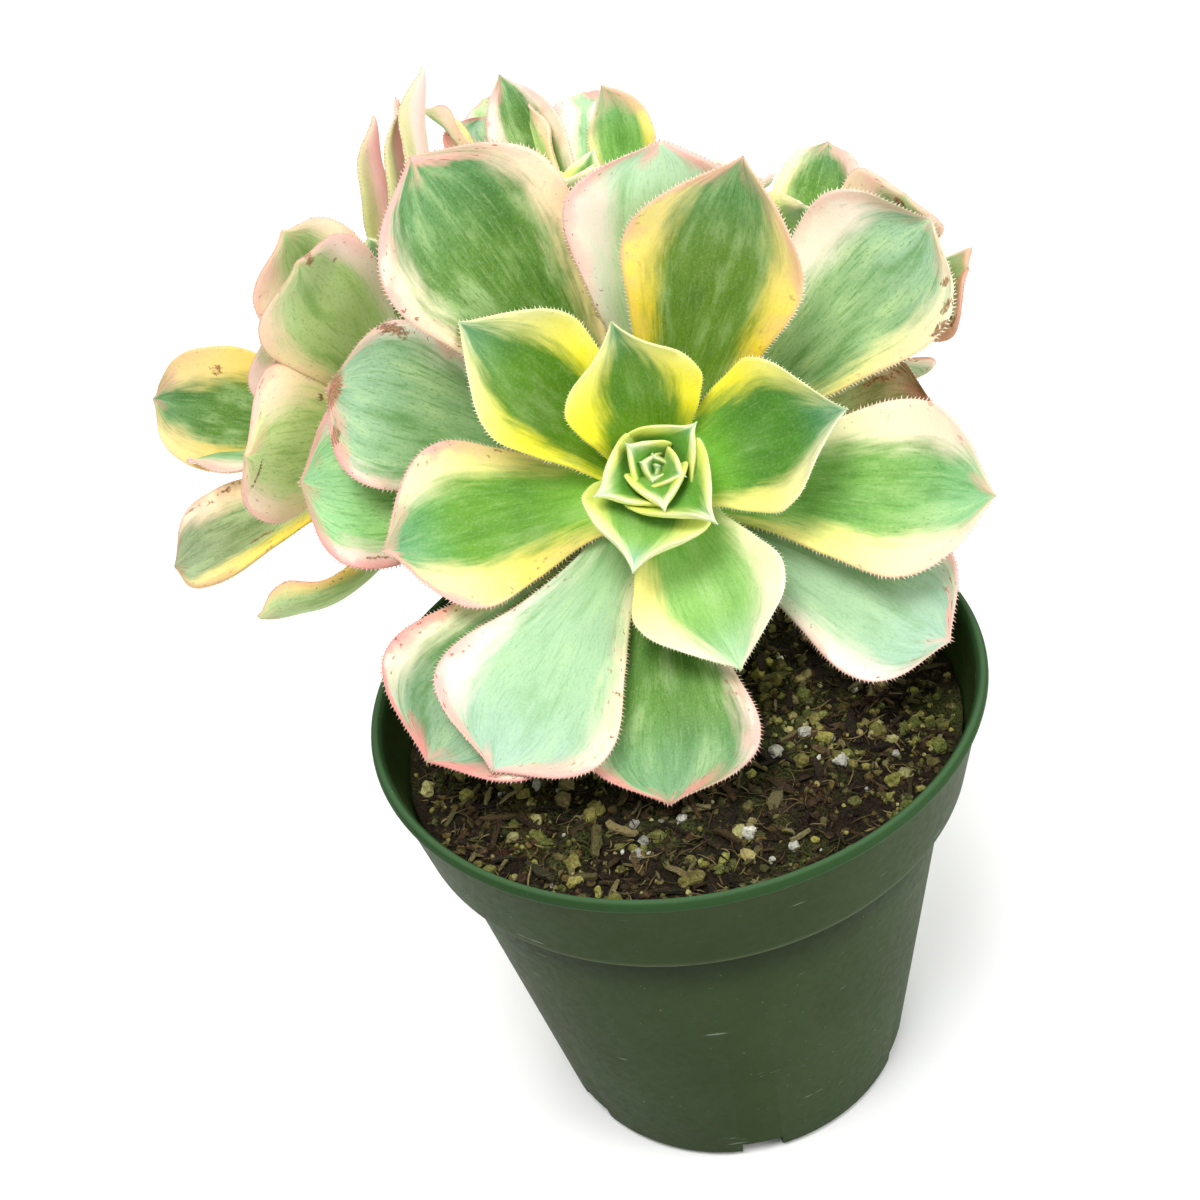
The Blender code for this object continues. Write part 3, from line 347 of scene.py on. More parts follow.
# Leaves longer than this get the finer grid of rows and columns.
LARGE_LEAF = 25
FINE_GRID = (44, 23)
COARSE_GRID = (26, 17)
TIP_CROWDING = 1.35
COLUMNS_REACH = 0.88
RIM_COLUMNS = (0.945, 0.985, 1.0)
BELOW_SHIFT = 7.0
SOFT_BAND = 0.35

# Teeth along the margins.
TOOTH_PITCH = 0.72
TOOTH_LENGTH = 0.78
TOOTH_HALF_BASE = 0.2
TOOTH_LEANS = (0.35, 0.9)
TOOTH_VARIETY = (0.6, 1.15)
TOOTH_SINK = 0.18
TOOTH_DROP = 0.1
TOOTH_START = 0.16
SMALLEST_TOOTHED = 9.0
TOOTH_TONE = "#f6f0d2"

# The camera: where it stands, its right and up directions, and its lens for a 36 mm sensor.
CAMERA_ELEVATION = 36.73
CAMERA_ROLL = -11.42
CAMERA_DISTANCE = 300.0
CAMERA_SHIFT = (12.6, -12.7)
CAMERA_LENS = 51.51
SENSOR = 36.0

# The studio: the floor's half-width and how far it lies under the pot, the sky's strength, and each lamp's
# name, place, diameter and power.
FLOOR_REACH = 3000
FLOOR_SINK = 0.2
SKY_STRENGTH = 0.56
LIGHTS = (
    ("key", (-300, -560, 1750), 800, 25.0),
    ("fill", (1100, -500, 700), 900, 11.0),
    ("back", (120, 1100, 1300), 1100, 9.0),
)
LIGHTS_AIM = (0, 20, 100)


def linear(tone):
    """A colour such as #f8e84a in linear light."""
    shares = [int(tone[i:i + 2], 16) / 255 for i in (1, 3, 5)]
    return np.array([s / 12.92 if s <= 0.04045 else ((s + 0.055) / 1.055) ** 2.4 for s in shares])


def smooth_step(low, high, x):
    u = np.clip((np.asarray(x, float) - low) / (high - low), 0, 1)
    return u * u * (3 - 2 * u)


def smooth_curve(xs, ys, x):
    """A curve through the points with no overshoot between them."""
    xs = np.asarray(xs, float)
    ys = np.asarray(ys, float)
    step = np.diff(xs)
    slope = np.diff(ys) / step
    tangent = np.zeros(len(xs))
    for i in range(1, len(xs) - 1):
        if slope[i - 1] * slope[i] > 0:
            near = 2 * step[i] + step[i - 1]
            far = step[i] + 2 * step[i - 1]
            tangent[i] = (near + far) / (near / slope[i - 1] + far / slope[i])
    tangent[0] = slope[0]
    tangent[-1] = slope[-1]
    x = np.clip(x, xs[0], xs[-1])
    i = np.clip(np.searchsorted(xs, x) - 1, 0, len(xs) - 2)
    u = (x - xs[i]) / step[i]
    rise = ys[i] * (1 + 2 * u) * (1 - u) ** 2 + ys[i + 1] * u * u * (3 - 2 * u)
    return rise + step[i] * (tangent[i] * u * (1 - u) ** 2 - tangent[i + 1] * u * u * (1 - u))


class Graph:
    """Builds the node tree of one material."""

    def __init__(self, name):
        self.material = bpy.data.materials.new(name)
        self.material.use_nodes = True
        self.tree = self.material.node_tree
        self.shader = self.tree.nodes["Principled BSDF"]

    def set(self, node, name, value):
        """Links a socket to the node's input, or writes the constant there."""
        socket = node.inputs[name]
        if isinstance(value, bpy.types.NodeSocket):
            self.tree.links.new(value, socket)
        else:
            socket.default_value = value

    def add(self, kind, inputs=None, **settings):
        node = self.tree.nodes.new(kind)
        for key, value in settings.items():
            setattr(node, key, value)
        for name, value in (inputs or {}).items():
            self.set(node, name, value)
        return node

    def attribute(self, name, output="Fac"):
        return self.add("ShaderNodeAttribute", attribute_name=name).outputs[output]

    def place(self):
        """The point in the object's own space, in millimetres."""
        point = self.add("ShaderNodeTexCoord").outputs["Object"]
        return self.scaled(point, (1 / MM, 1 / MM, 1 / MM))

    def scaled(self, vector, scale):
        return self.add("ShaderNodeVectorMath", {0: vector, 1: scale}, operation="MULTIPLY").outputs[0]

    def math(self, operation, first, second=0.0, clamp=False):
        inputs = {0: first, 1: second}
        return self.add("ShaderNodeMath", inputs, operation=operation, use_clamp=clamp).outputs[0]

    def plus(self, first, second):
        return self.math("ADD", first, second)

    def times(self, first, second, clamp=False):
        return self.math("MULTIPLY", first, second, clamp)

    def swung(self, value, strength):
        """A noise value turned into a swing either side of nought."""
        return self.times(self.math("SUBTRACT", value, 0.5), strength)

    def noise(self, vector, scale, detail=3.0, roughness=0.5):
        inputs = {"Vector": vector, "Scale": scale, "Detail": detail, "Roughness": roughness}
        return self.add("ShaderNodeTexNoise", inputs).outputs["Fac"]

    def drawn(self, flat, across, along, detail=3.0, roughness=0.5):
        """Noise on the flattened blade, with its own scale across and along."""
        return self.noise(self.scaled(flat, (across, along, 1.0)), 1.0, detail, roughness)

    def ramp(self, value, low, high, start=0.0, end=1.0):
        inputs = {"Value": value, "From Min": low, "From Max": high, "To Min": start, "To Max": end}
        return self.add("ShaderNodeMapRange", inputs, interpolation_type="SMOOTHSTEP").outputs["Result"]

    def mix(self, share, first, second, blend="MIX"):
        """Mixes two colours, each a socket or a tone."""
        node = self.add("ShaderNodeMix", data_type="RGBA", blend_type=blend)
        self.set(node, 0, share)
        for index, colour in ((6, first), (7, second)):
            self.set(node, index, (*linear(colour), 1.0) if isinstance(colour, str) else colour)
        return node.outputs[2]

    def bump(self, height, strength, distance):
        inputs = {"Height": height, "Strength": strength, "Distance": distance}
        return self.add("ShaderNodeBump", inputs).outputs["Normal"]

    def finish(self, **inputs):
        for name, value in inputs.items():
            self.set(self.shader, name.replace("_", " "), value)
        return self.material


def leaf_material(name):
    """Waxy variegated leaf. What differs from leaf to leaf comes from the mesh's attributes."""
    g = Graph(name)
    flat = g.attribute("flat", "Vector")
    broad = g.drawn(flat, 0.13, 0.035, 2.0)
    cloud = g.drawn(flat, 0.22, 0.085, 2.0, 0.5)
    stroke = g.drawn(flat, 0.55, 0.16, 2.0, 0.5)
    streak = g.drawn(flat, 1.7, 0.15, 3.0, 0.55)
    hair = g.drawn(flat, 4.5, 0.4, 3.0, 0.6)
    grain = g.drawn(flat, 2.6, 2.0, 3.0, 0.7)
    # The centre gives way to the margin where the band passes zero, moved about and frayed by streaks.
    frayed = g.plus(g.attribute("band"), g.swung(broad, 1.9))
    frayed = g.plus(frayed, g.swung(stroke, 1.5))
    frayed = g.plus(frayed, g.swung(streak, 0.9))
    margin = g.ramp(frayed, -1.0, 1.0)
    core = g.attribute("core_tone", "Color")
    mottle = g.attribute("mottle")
    pale = g.mix(0.42, core, "#cce6a4")
    dark = g.mix(0.85, core, g.mix(1.0, core, "#a6c88e", "MULTIPLY"))
    fleece = g.drawn(flat, 2.4, 0.8, 4.0, 0.7)
    clouds = (
        (cloud, 0.48, 0.74, 1.0, pale),
        (cloud, 0.5, 0.28, 1.0, dark),
        (streak, 0.52, 0.75, 0.5, pale),
        (streak, 0.46, 0.28, 0.8, dark),
        (fleece, 0.47, 0.33, 0.75, dark),
        (fleece, 0.56, 0.74, 0.36, pale),
    )
    for pattern, low, high, strength, tone in clouds:
        core = g.mix(g.times(g.ramp(pattern, low, high, 0.0, strength), mottle), core, tone)
    colour = g.mix(margin, core, g.attribute("edge_tone", "Color"))
    # The pink rim, uneven along the margin.
    edge = g.attribute("edge")
    patchy = g.drawn(flat, 0.16, 0.16, 2.0)
    width = g.ramp(patchy, 0.38, 0.66, 0.8, 4.4)
    pink = g.ramp(g.math("DIVIDE", edge, width), 1.0, 0.0)
    pink = g.times(pink, g.ramp(broad, 0.36, 0.56, 0.35, 1.0))
    pink = g.times(pink, g.attribute("rim"), clamp=True)
    colour = g.mix(pink, colour, g.attribute("rim_tone", "Color"))
    # Rusty flecks near the rim of the older leaves, and scars.
    fleck = g.ramp(g.drawn(flat, 1.1, 0.8, 2.0), 0.645, 0.71)
    fleck = g.times(fleck, g.ramp(edge, 4.5, 0.4))
    fleck = g.times(fleck, g.attribute("fleck"), clamp=True)
    colour = g.mix(fleck, colour, "#a05c48")
    ragged = g.drawn(flat, 1.5, 0.8, 4.0, 0.7)
    scar = g.plus(g.attribute("scar"), g.swung(ragged, 2.2))
    dried = g.mix(g.ramp(grain, 0.4, 0.6), "#5a3622", "#a8703f")
    colour = g.mix(g.ramp(scar, 0.55, 0.85, 0.0, 0.85), colour, dried)
    # The cells of the skin.
    colour = g.mix(g.ramp(grain, 0.45, 0.75, 0.0, 0.1), colour, "#eef4d4")
    colour = g.mix(g.ramp(grain, 0.5, 0.25, 0.0, 0.12), colour, "#4c7a2c")
    normal = g.bump(g.plus(g.times(hair, 0.5), grain), 0.2, 0.00012)
    return g.finish(
        Base_Color=colour,
        Roughness=g.ramp(grain, 0.3, 0.7, 0.44, 0.6),
        Normal=normal,
        Specular_IOR_Level=0.27,
        Subsurface_Weight=0.12,
        Subsurface_Radius=(1.0, 0.9, 0.4),
        Subsurface_Scale=0.0014,
    )


def pot_material():
    """Matte green polypropylene with dust and fine scratches."""
    g = Graph("pot_plastic")
    place = g.place()
    cloud = g.noise(place, 0.035, 3.0)
    dust = g.noise(place, 0.6, 5.0, 0.65)
    grain = g.noise(place, 5.0, 3.0)
    colour = g.mix(g.ramp(cloud, 0.3, 0.7), "#2a3719", "#2f3f20")
    colour = g.mix(g.ramp(dust, 0.6, 0.8, 0.0, 0.05), colour, "#5c6348")
    # Scratches run round the wall, so their pattern is drawn out along its circumference.
    around = g.add("ShaderNodeTexCoord").outputs["Object"]
    parts = g.add("ShaderNodeSeparateXYZ", {0: around})
    angle = g.math("ARCTAN2", parts.outputs[1], parts.outputs[0])
    height = g.times(parts.outputs[2], 1 / MM)
    run = g.add("ShaderNodeCombineXYZ", {0: g.times(angle, 5.0), 1: g.times(height, 0.9)}).outputs[0]
    # Painted shade darkens the body under the collar, and the collar's lower edge is painted paler, partly
    # wear and partly a painted highlight.
    collar_shade = g.times(g.ramp(height, 58.0, 71.0, 0.0, 0.7), g.ramp(height, 72.4, 72.0))
    colour = g.mix(collar_shade, colour, "#10180a")
    # A painted highlight along the collar's rounded lower edge, mixed with wear.
    wear_and_highlight = g.times(g.ramp(height, 71.8, 72.4), g.ramp(height, 74.4, 72.6, 0.0, 0.3))
    wear_and_highlight = g.times(wear_and_highlight, g.ramp(dust, 0.3, 0.6, 0.4, 1.0))
    colour = g.mix(wear_and_highlight, colour, "#7c8468")
    # The lip is a cooler green, with a painted highlight along its crest.
    colour = g.mix(g.ramp(height, 89.2, 90.2, 0.0, 0.6), colour, "#2a4a2a")
    colour = g.mix(g.ramp(height, 91.6, 92.0, 0.0, 0.3), colour, "#5c7c5a")
    scratch = g.noise(run, 1.0, 2.0)
    handled = g.ramp(g.noise(place, 0.12, 2.0), 0.5, 0.62)
    scratch = g.times(g.ramp(scratch, 0.68, 0.72), handled)
    colour = g.mix(g.times(scratch, 0.4), colour, "#93a08c")
    speck = g.ramp(g.noise(place, 1.6, 2.0), 0.73, 0.77)
    speck = g.times(speck, g.ramp(cloud, 0.45, 0.65, 0.1, 0.5))
    colour = g.mix(speck, colour, "#b9b79c")
    relief = g.plus(grain, g.times(scratch, -1.2))
    return g.finish(
        Base_Color=colour,
        Roughness=g.ramp(dust, 0.35, 0.75, 0.44, 0.54),
        Normal=g.bump(relief, 0.04, 0.0001),
        Specular_IOR_Level=0.03,
    )


def soil_material():
    """Dark peat, damp in places and greened by algae."""
    g = Graph("soil_peat")
    place = g.place()
    clod = g.noise(place, 0.45, 5.0, 0.65)
    fine = g.noise(place, 2.4, 4.0, 0.7)
    colour = g.mix(g.ramp(fine, 0.35, 0.65), "#0e0a06", "#352a1b")
    colour = g.mix(g.ramp(clod, 0.55, 0.72, 0.0, 0.45), colour, "#4c3c26")
    ruddy = g.ramp(g.noise(place, 0.05, 2.0), 0.55, 0.7, 0.0, 0.6)
    colour = g.mix(g.times(ruddy, g.ramp(fine, 0.4, 0.6)), colour, "#6c3e1e")
    green = g.times(g.ramp(g.noise(place, 0.07, 3.0), 0.45, 0.6), g.ramp(fine, 0.4, 0.6))
    colour = g.mix(g.times(green, 0.75), colour, "#4e5a24")
    return g.finish(
        Base_Color=colour,
        Roughness=0.95,
        Normal=g.bump(g.plus(fine, clod), 0.8, 0.0009),
        Specular_IOR_Level=0.2,
    )


def toned_material(name, relief, roughness, fibrous):
    """Loose matter whose colour differs from piece to piece by the mesh's own tone."""
    g = Graph(name)
    place = g.place()
    fine = g.noise(place, relief, 4.0, 0.65)
    tone = g.attribute("tone", "Color")
    colour = g.mix(g.ramp(fine, 0.55, 0.35, 0.0, 0.6), tone, g.mix(0.72, tone, "#120c07"))
    colour = g.mix(g.ramp(fine, 0.55, 0.75, 0.0, 0.35), colour, "#e6dcc0" if not fibrous else "#b08a58")
    return g.finish(
        Base_Color=colour,
        Roughness=roughness,
        Normal=g.bump(fine, 0.7, 0.0004),
        Specular_IOR_Level=0.25,
    )


def stem_material():
    """Dry bark with pale leaf scars, greener towards the heads."""
    g = Graph("stem_bark")
    place = g.place()
    rings = g.noise(g.scaled(place, (0.25, 0.25, 1.3)), 1.0, 4.0, 0.6)
    fine = g.noise(place, 2.2, 4.0, 0.65)
    colour = g.mix(g.ramp(rings, 0.35, 0.65), "#4c3a27", "#8f7450")
    colour = g.mix(g.ramp(fine, 0.5, 0.68, 0.0, 0.5), colour, "#b7a27a")
    height = g.add("ShaderNodeSeparateXYZ", {0: place}).outputs[2]
    colour = g.mix(g.ramp(height, 100.0, 150.0, 0.0, 0.45), colour, "#7f8a4c")
    return g.finish(
        Base_Color=colour,
        Roughness=0.85,
        Normal=g.bump(g.plus(rings, g.times(fine, 0.6)), 0.8, 0.0007),
        Specular_IOR_Level=0.25,
    )


def floor_material():
    g = Graph("floor_paper")
    place = g.place()
    colour = g.mix(g.ramp(g.noise(place, 0.01, 2.0), 0.3, 0.7), "#f7f7f6", "#fafaf9")
    return g.finish(Base_Color=colour, Roughness=0.9, Specular_IOR_Level=0.1)


def mesh_object(name, points, faces, smooth=True):
    """A mesh object from points in millimetres, with its faces turned outward."""
    mesh = bpy.data.meshes.new(name)
    mesh.from_pydata((np.asarray(points) * MM).tolist(), [], faces)
    body = bmesh.new()
    body.from_mesh(mesh)
    bmesh.ops.recalc_face_normals(body, faces=body.faces)
    body.to_mesh(mesh)
    body.free()
    mesh.polygons.foreach_set("use_smooth", [smooth] * len(mesh.polygons))
    obj = bpy.data.objects.new(name, mesh)
    bpy.context.scene.collection.objects.link(obj)
    return obj


def write_attribute(obj, name, kind, values):
    """A value for each point of the mesh: FLOAT, FLOAT_VECTOR or FLOAT_COLOR."""
    attribute = obj.data.attributes.new(name, kind, "POINT")
    values = np.asarray(values, np.float32)
    if kind == "FLOAT_COLOR":
        values = np.concatenate([values, np.ones((len(values), 1), np.float32)], axis=1)
    field = {"FLOAT": "value", "FLOAT_VECTOR": "vector", "FLOAT_COLOR": "color"}[kind]
    attribute.data.foreach_set(field, values.ravel())


def dress(obj, material, slot, *nodes):
    """Gives the piece its material, lets it ride on the body and hides the solids that it stands for."""
    obj.data.materials.clear()
    obj.data.materials.append(material)
    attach(obj, "root")
    if nodes:
        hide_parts(*nodes)
    return obj


def apply_modifiers(obj):
    graph = bpy.context.evaluated_depsgraph_get()
    mesh = bpy.data.meshes.new_from_object(obj.evaluated_get(graph))
    obj.modifiers.clear()
    obj.data = mesh


def circle(radius, sides):
    """Points (x, y) round the Z axis."""
    turns = [2 * math.pi * k / sides for k in range(sides)]
    return [(radius * math.cos(a), radius * math.sin(a)) for a in turns]


def unit(vector):
    return vector / max(np.linalg.norm(vector), 1e-9)


def lathe(profile, sides):
    """Points and faces of a closed ring of profile points (radius, height) turned round the Z axis."""
    points = []
    starts = []
    for radius, height in profile:
        starts.append(len(points))
        points += [(x, y, height) for x, y in circle(radius, sides if radius else 1)]
    faces = []
    for i in range(len(profile)):
        j = (i + 1) % len(profile)
        if not profile[i][0] and not profile[j][0]:
            continue
        for k in range(sides):
            n = (k + 1) % sides
            if not profile[i][0]:
                faces.append((starts[i], starts[j] + k, starts[j] + n))
            elif not profile[j][0]:
                faces.append((starts[i] + n, starts[i] + k, starts[j]))
            else:
                faces.append((starts[i] + n, starts[i] + k, starts[j] + k, starts[j] + n))
    return points, faces


def inner_radius(height):
    """Radius of the pot's inner wall at a height."""
    if height < COLLAR_BOTTOM:
        share = height / COLLAR_BOTTOM
        return POT_BASE_RADIUS + (BODY_TOP_RADIUS - POT_BASE_RADIUS) * share - WALL
    share = (height - COLLAR_BOTTOM) / (POT_HEIGHT - COLLAR_BOTTOM)
    return COLLAR_BOTTOM_RADIUS + (COLLAR_TOP_RADIUS - COLLAR_BOTTOM_RADIUS) * share - WALL


def inner_wall(gap):
    """The inner wall's corners from the floor up to the collar's step, moved inward by a gap."""
    return [
        (POT_BASE_RADIUS - WALL - FLOOR_FILLET[0] - gap, FLOOR + gap),
        (POT_BASE_RADIUS - WALL - gap, FLOOR + FLOOR_FILLET[1] + gap),
        (inner_radius(COLLAR_BOTTOM - SHOULDER_DROP) - gap, COLLAR_BOTTOM - SHOULDER_DROP),
        (inner_radius(COLLAR_BOTTOM - JUST_UNDER) - gap, COLLAR_BOTTOM + WALL - STEP_ROUND + gap),
        (COLLAR_BOTTOM_RADIUS - WALL - gap, COLLAR_BOTTOM + WALL + gap),
    ]


def build_pot():
    lip_low = POT_HEIGHT - LIP_HEIGHT
    lip_inner = COLLAR_TOP_RADIUS - WALL
    profile = [
        (0.0, 0.0),
        (POT_BASE_RADIUS - BASE_ROUND, 0.0),
        (POT_BASE_RADIUS, BASE_ROUND),
        (BODY_TOP_RADIUS - SHOULDER_EASE, COLLAR_BOTTOM - SHOULDER_DROP),
        (BODY_TOP_RADIUS, COLLAR_BOTTOM - STEP_ROUND),
        (COLLAR_BOTTOM_RADIUS - STEP_ROUND, COLLAR_BOTTOM),
        (COLLAR_BOTTOM_RADIUS, COLLAR_BOTTOM + STEP_ROUND),
        (COLLAR_TOP_RADIUS, lip_low),
        (LIP_RADIUS - LIP_LOW_CORNER[0], lip_low + LIP_LOW_CORNER[1]),
        (LIP_RADIUS, lip_low + LIP_BELLY),
        (LIP_RADIUS - LIP_HIGH_CORNER[0], POT_HEIGHT - LIP_HIGH_CORNER[1]),
        (LIP_RADIUS - LIP_CROWN, POT_HEIGHT),
        *((lip_inner + out, POT_HEIGHT - drop) for out, drop in LIP_INSIDE),
        *reversed(inner_wall(0.0)),
        (0.0, FLOOR),
    ]
    pot = mesh_object("pot_shell", *lathe(profile, SIDES))
    rounding = pot.modifiers.new("rounding", "BEVEL")
    rounding.width = EDGE_ROUND * MM
    rounding.segments = 2
    rounding.limit_method = "ANGLE"
    rounding.angle_limit = math.radians(BEVEL_ANGLE)
    apply_modifiers(pot)
    cutters = bpy.data.collections.new("drain cutters")
    bpy.context.scene.collection.children.link(cutters)
    inner = POT_BASE_RADIUS - DRAIN_REACH
    outer = POT_BASE_RADIUS + DRAIN_OVERSHOOT
    narrow = DRAIN_WIDTH * DRAIN_TAPER / 2
    wide = DRAIN_WIDTH / 2
    low = -DRAIN_OVERSHOOT
    high = DRAIN_HEIGHT
    ends = ((inner, narrow, low), (outer, wide, low), (outer, wide, high), (inner, narrow, high))
    for k in range(DRAIN_COUNT):
        turn = 2 * math.pi * (k + 0.5) / DRAIN_COUNT
        out = np.array([math.cos(turn), math.sin(turn), 0.0])
        side = np.array([-math.sin(turn), math.cos(turn), 0.0])
        corners = [out * r + side * s * w + np.array([0, 0, z]) for r, w, z in ends for s in (-1, 1)]
        faces = [(0, 1, 3, 2), (2, 3, 5, 4), (4, 5, 7, 6), (6, 7, 1, 0), (0, 2, 4, 6), (1, 7, 5, 3)]
        cutter = mesh_object(f"drain_{k}", corners, faces, False)
        bpy.context.scene.collection.objects.unlink(cutter)
        cutters.objects.link(cutter)
    cut = pot.modifiers.new("drains", "BOOLEAN")
    cut.operation = "DIFFERENCE"
    cut.operand_type = "COLLECTION"
    cut.collection = cutters
    cut.solver = "EXACT"
    bpy.context.view_layer.update()
    apply_modifiers(pot)
    for cutter in list(cutters.objects):
        bpy.data.objects.remove(cutter)
    bpy.data.collections.remove(cutters)
    pot.data.polygons.foreach_set("use_smooth", [True] * len(pot.data.polygons))
    pot.data.set_sharp_from_angle(angle=math.radians(CREASE_ANGLE))
    dress(pot, pot_material(), "pot", "pot")


def soil_height(x, y):
    """Height of the soil's surface, mounded towards the stem."""
    away = math.hypot(x - TRUNK_X, y - TRUNK_Y)
    mound = SOIL_MOUND * math.exp(-(away / MOUND_REACH) ** 2)
    east = math.sin(WAVE_EAST[0] * x + WAVE_EAST[1])
    north = math.cos(WAVE_NORTH[0] * y + WAVE_NORTH[1])
    skew = math.sin(WAVE_SKEW[0] * x + WAVE_SKEW[1] * y + WAVE_SKEW[2])
    return SOIL_LEVEL + mound + SOIL_RELIEF * (east * north + WAVE_SKEW[3] * skew)


def soil_top(x, y):
    """The soil's surface with its clods."""
    clods = noise.fractal(Vector((CLOD_SCALE * x, CLOD_SCALE * y, 3.0)), 0.8, 2.1, 5)
    return soil_height(x, y) + CLOD_HEIGHT * clods


def build_soil_bed():
    """One body: the rough top, then down the pot's inner wall and across its floor."""
    rings = []
    for i in range(1, SOIL_RINGS + 1):
        radius = SOIL_RADIUS * (i / SOIL_RINGS) ** SOIL_RING_POWER
        rings.append([(x, y, soil_top(x, y)) for x, y in circle(radius, SOIL_SPOKES)])
    brim = SOIL_LEVEL - SOIL_EDGE_DROP
    for radius, height in [(inner_radius(brim) - GAP, brim), *reversed(inner_wall(GAP))]:
        rings.append([(x, y, height) for x, y in circle(radius, SOIL_SPOKES)])
    points = [(0.0, 0.0, soil_top(0.0, 0.0))]
    points += [p for ring in rings for p in ring]
    points.append((0.0, 0.0, FLOOR + GAP))
    faces = []
    last = len(points) - 1
    for k in range(SOIL_SPOKES):
        n = (k + 1) % SOIL_SPOKES
        faces.append((0, 1 + k, 1 + n))
        for i in range(len(rings) - 1):
            a = 1 + i * SOIL_SPOKES
            b = a + SOIL_SPOKES
            faces.append((a + k, b + k, b + n, a + n))
        a = 1 + (len(rings) - 1) * SOIL_SPOKES
        faces.append((a + k, last, a + n))
    dress(mesh_object("soil_bed", points, faces), soil_material(), "soil", "soil")


class Heap:
    """Many small loose shapes gathered into one mesh, each with its own tone."""

    def __init__(self):
        self.points = []
        self.faces = []
        self.tones = []
        self.count = 0

    def add(self, points, faces, tone):
        self.points.append(np.asarray(points, float))
        self.faces += [tuple(self.count + int(i) for i in face) for face in faces]
        self.tones.append(np.tile(tone, (len(points), 1)))
        self.count += len(points)

    def make(self, name, material, smooth):
        obj = mesh_object(name, np.concatenate(self.points), self.faces, smooth)
        write_attribute(obj, "tone", "FLOAT_COLOR", np.concatenate(self.tones))
        dress(obj, material, "soil")


def ball(subdivisions):
    """Points and faces of a small round body of radius 1."""
    body = bmesh.new()
    bmesh.ops.create_icosphere(body, subdivisions=subdivisions, radius=1.0)
    points = np.array([v.co[:] for v in body.verts])
    faces = [tuple(v.index for v in f.verts) for f in body.faces]
    body.free()
    return points, faces


def turned(points, spin, tilt, lean):
    """The points turned about Z, X and Y by angles in radians."""
    turn = Matrix.Rotation(spin, 3, "Z") @ Matrix.Rotation(tilt, 3, "X") @ Matrix.Rotation(lean, 3, "Y")
    return np.asarray(points) @ np.array(turn).T


def soil_spot(chance, margin):
    """A random place on the soil that keeps off the wall and the trunk."""
    while True:
        radius = (SOIL_RADIUS - margin) * math.sqrt(chance.random())
        a = chance.uniform(0, 2 * math.pi)
        x, y = radius * math.cos(a), radius * math.sin(a)
        if math.hypot(x - TRUNK_X, y - TRUNK_Y) > TRUNK_RADIUS + margin:
            return x, y


def lump(chance, shape, size, squash):
    """An uneven grain made from a round body."""
    points = shape * np.array([1.0, chance.uniform(0.65, 1.0), chance.uniform(*squash)])
    seed = chance.uniform(0, 100)
    swell = [1 + 0.55 * noise.noise(Vector((p[0] * 1.6 + seed, p[1] * 1.6, p[2] * 1.6))) for p in points]
    return points * np.array(swell)[:, None] * size


def drawn_size(chance, sizes):
    least, more, power = sizes
    return least + more * chance.random() ** power


def grain(chance, shape, size, squash, tilt):
    """A lump turned at random."""
    return turned(lump(chance, shape, size, squash), chance.uniform(*SPIN), chance.uniform(-tilt, tilt), 0.0)


def drawn_tone(chance, tones, least, most):
    return linear(chance.choice(tones)) * chance.uniform(least, most)


def build_grit():
    """Pumice and perlite grains, in loose clusters, and dark crumbs of peat."""
    chance = random.Random(SOIL_SEED)
    fine, faces = ball(2)
    grit = Heap()
    centres = [soil_spot(chance, CLUSTER_SPREAD) for _ in range(CLUSTER_COUNT)]
    for k in range(GRIT_COUNT):
        size = drawn_size(chance, GRIT_SIZES)
        x, y = soil_spot(chance, size + 0.6)
        if k % 2:
            cx, cy = chance.choice(centres)
            x = cx + chance.gauss(0, CLUSTER_SPREAD)
            y = cy + chance.gauss(0, CLUSTER_SPREAD)
        off = math.hypot(x, y) > SOIL_RADIUS - size - 0.5
        if off or math.hypot(x - TRUNK_X, y - TRUNK_Y) < TRUNK_RADIUS + size:
            continue
        points = grain(chance, fine, size, (0.6, 0.95), 0.5) + np.array([x, y, soil_top(x, y) + 0.35 * size])
        grit.add(points, faces, drawn_tone(chance, GRIT_TONES, 0.35, 1.0))
    grit.make("soil_grit", toned_material("grit_stone", 2.2, 0.9, False), False)
    crumbs = Heap()
    coarse, faces = ball(1)
    for _ in range(CRUMB_COUNT):
        size = drawn_size(chance, CRUMB_SIZES)
        x, y = soil_spot(chance, size + 0.4)
        points = grain(chance, coarse, size, (0.5, 0.9), 0.6) + np.array([x, y, soil_top(x, y) + 0.15 * size])
        crumbs.add(points, faces, drawn_tone(chance, CRUMB_TONES, 0.3, 1.3))
    crumbs.make("soil_crumbs", toned_material("peat_crumb", 1.6, 0.95, True), False)


def sliver(chance, length, width, thick, bow):
    """A strip of bark with ragged ends, bowed along its length."""
    rows = 6
    points = []
    for i in range(rows):
        u = i / (rows - 1)
        taper = 0.45 + 0.55 * math.sin(math.pi * min(max(u, 0.08), 0.92))
        half = width / 2 * taper * chance.uniform(0.75, 1.1)
        x = (u - 0.5) * length
        y = chance.uniform(-0.12, 0.12) * width
        z = bow * (1 - (2 * u - 1) ** 2)
        up = thick / 2 * chance.uniform(0.8, 1.1)
        points += [(x, y - half, z - up), (x, y + half, z - up), (x, y + half, z + up), (x, y - half, z + up)]
    faces = [(0, 1, 2, 3)]
    for i in range(rows - 1):
        for k in range(4):
            a, b = 4 * i + k, 4 * i + (k + 1) % 4
            faces.append((a, a + 4, b + 4, b))
    top = 4 * (rows - 1)
    faces.append((top + 3, top + 2, top + 1, top))
    return np.array(points), faces


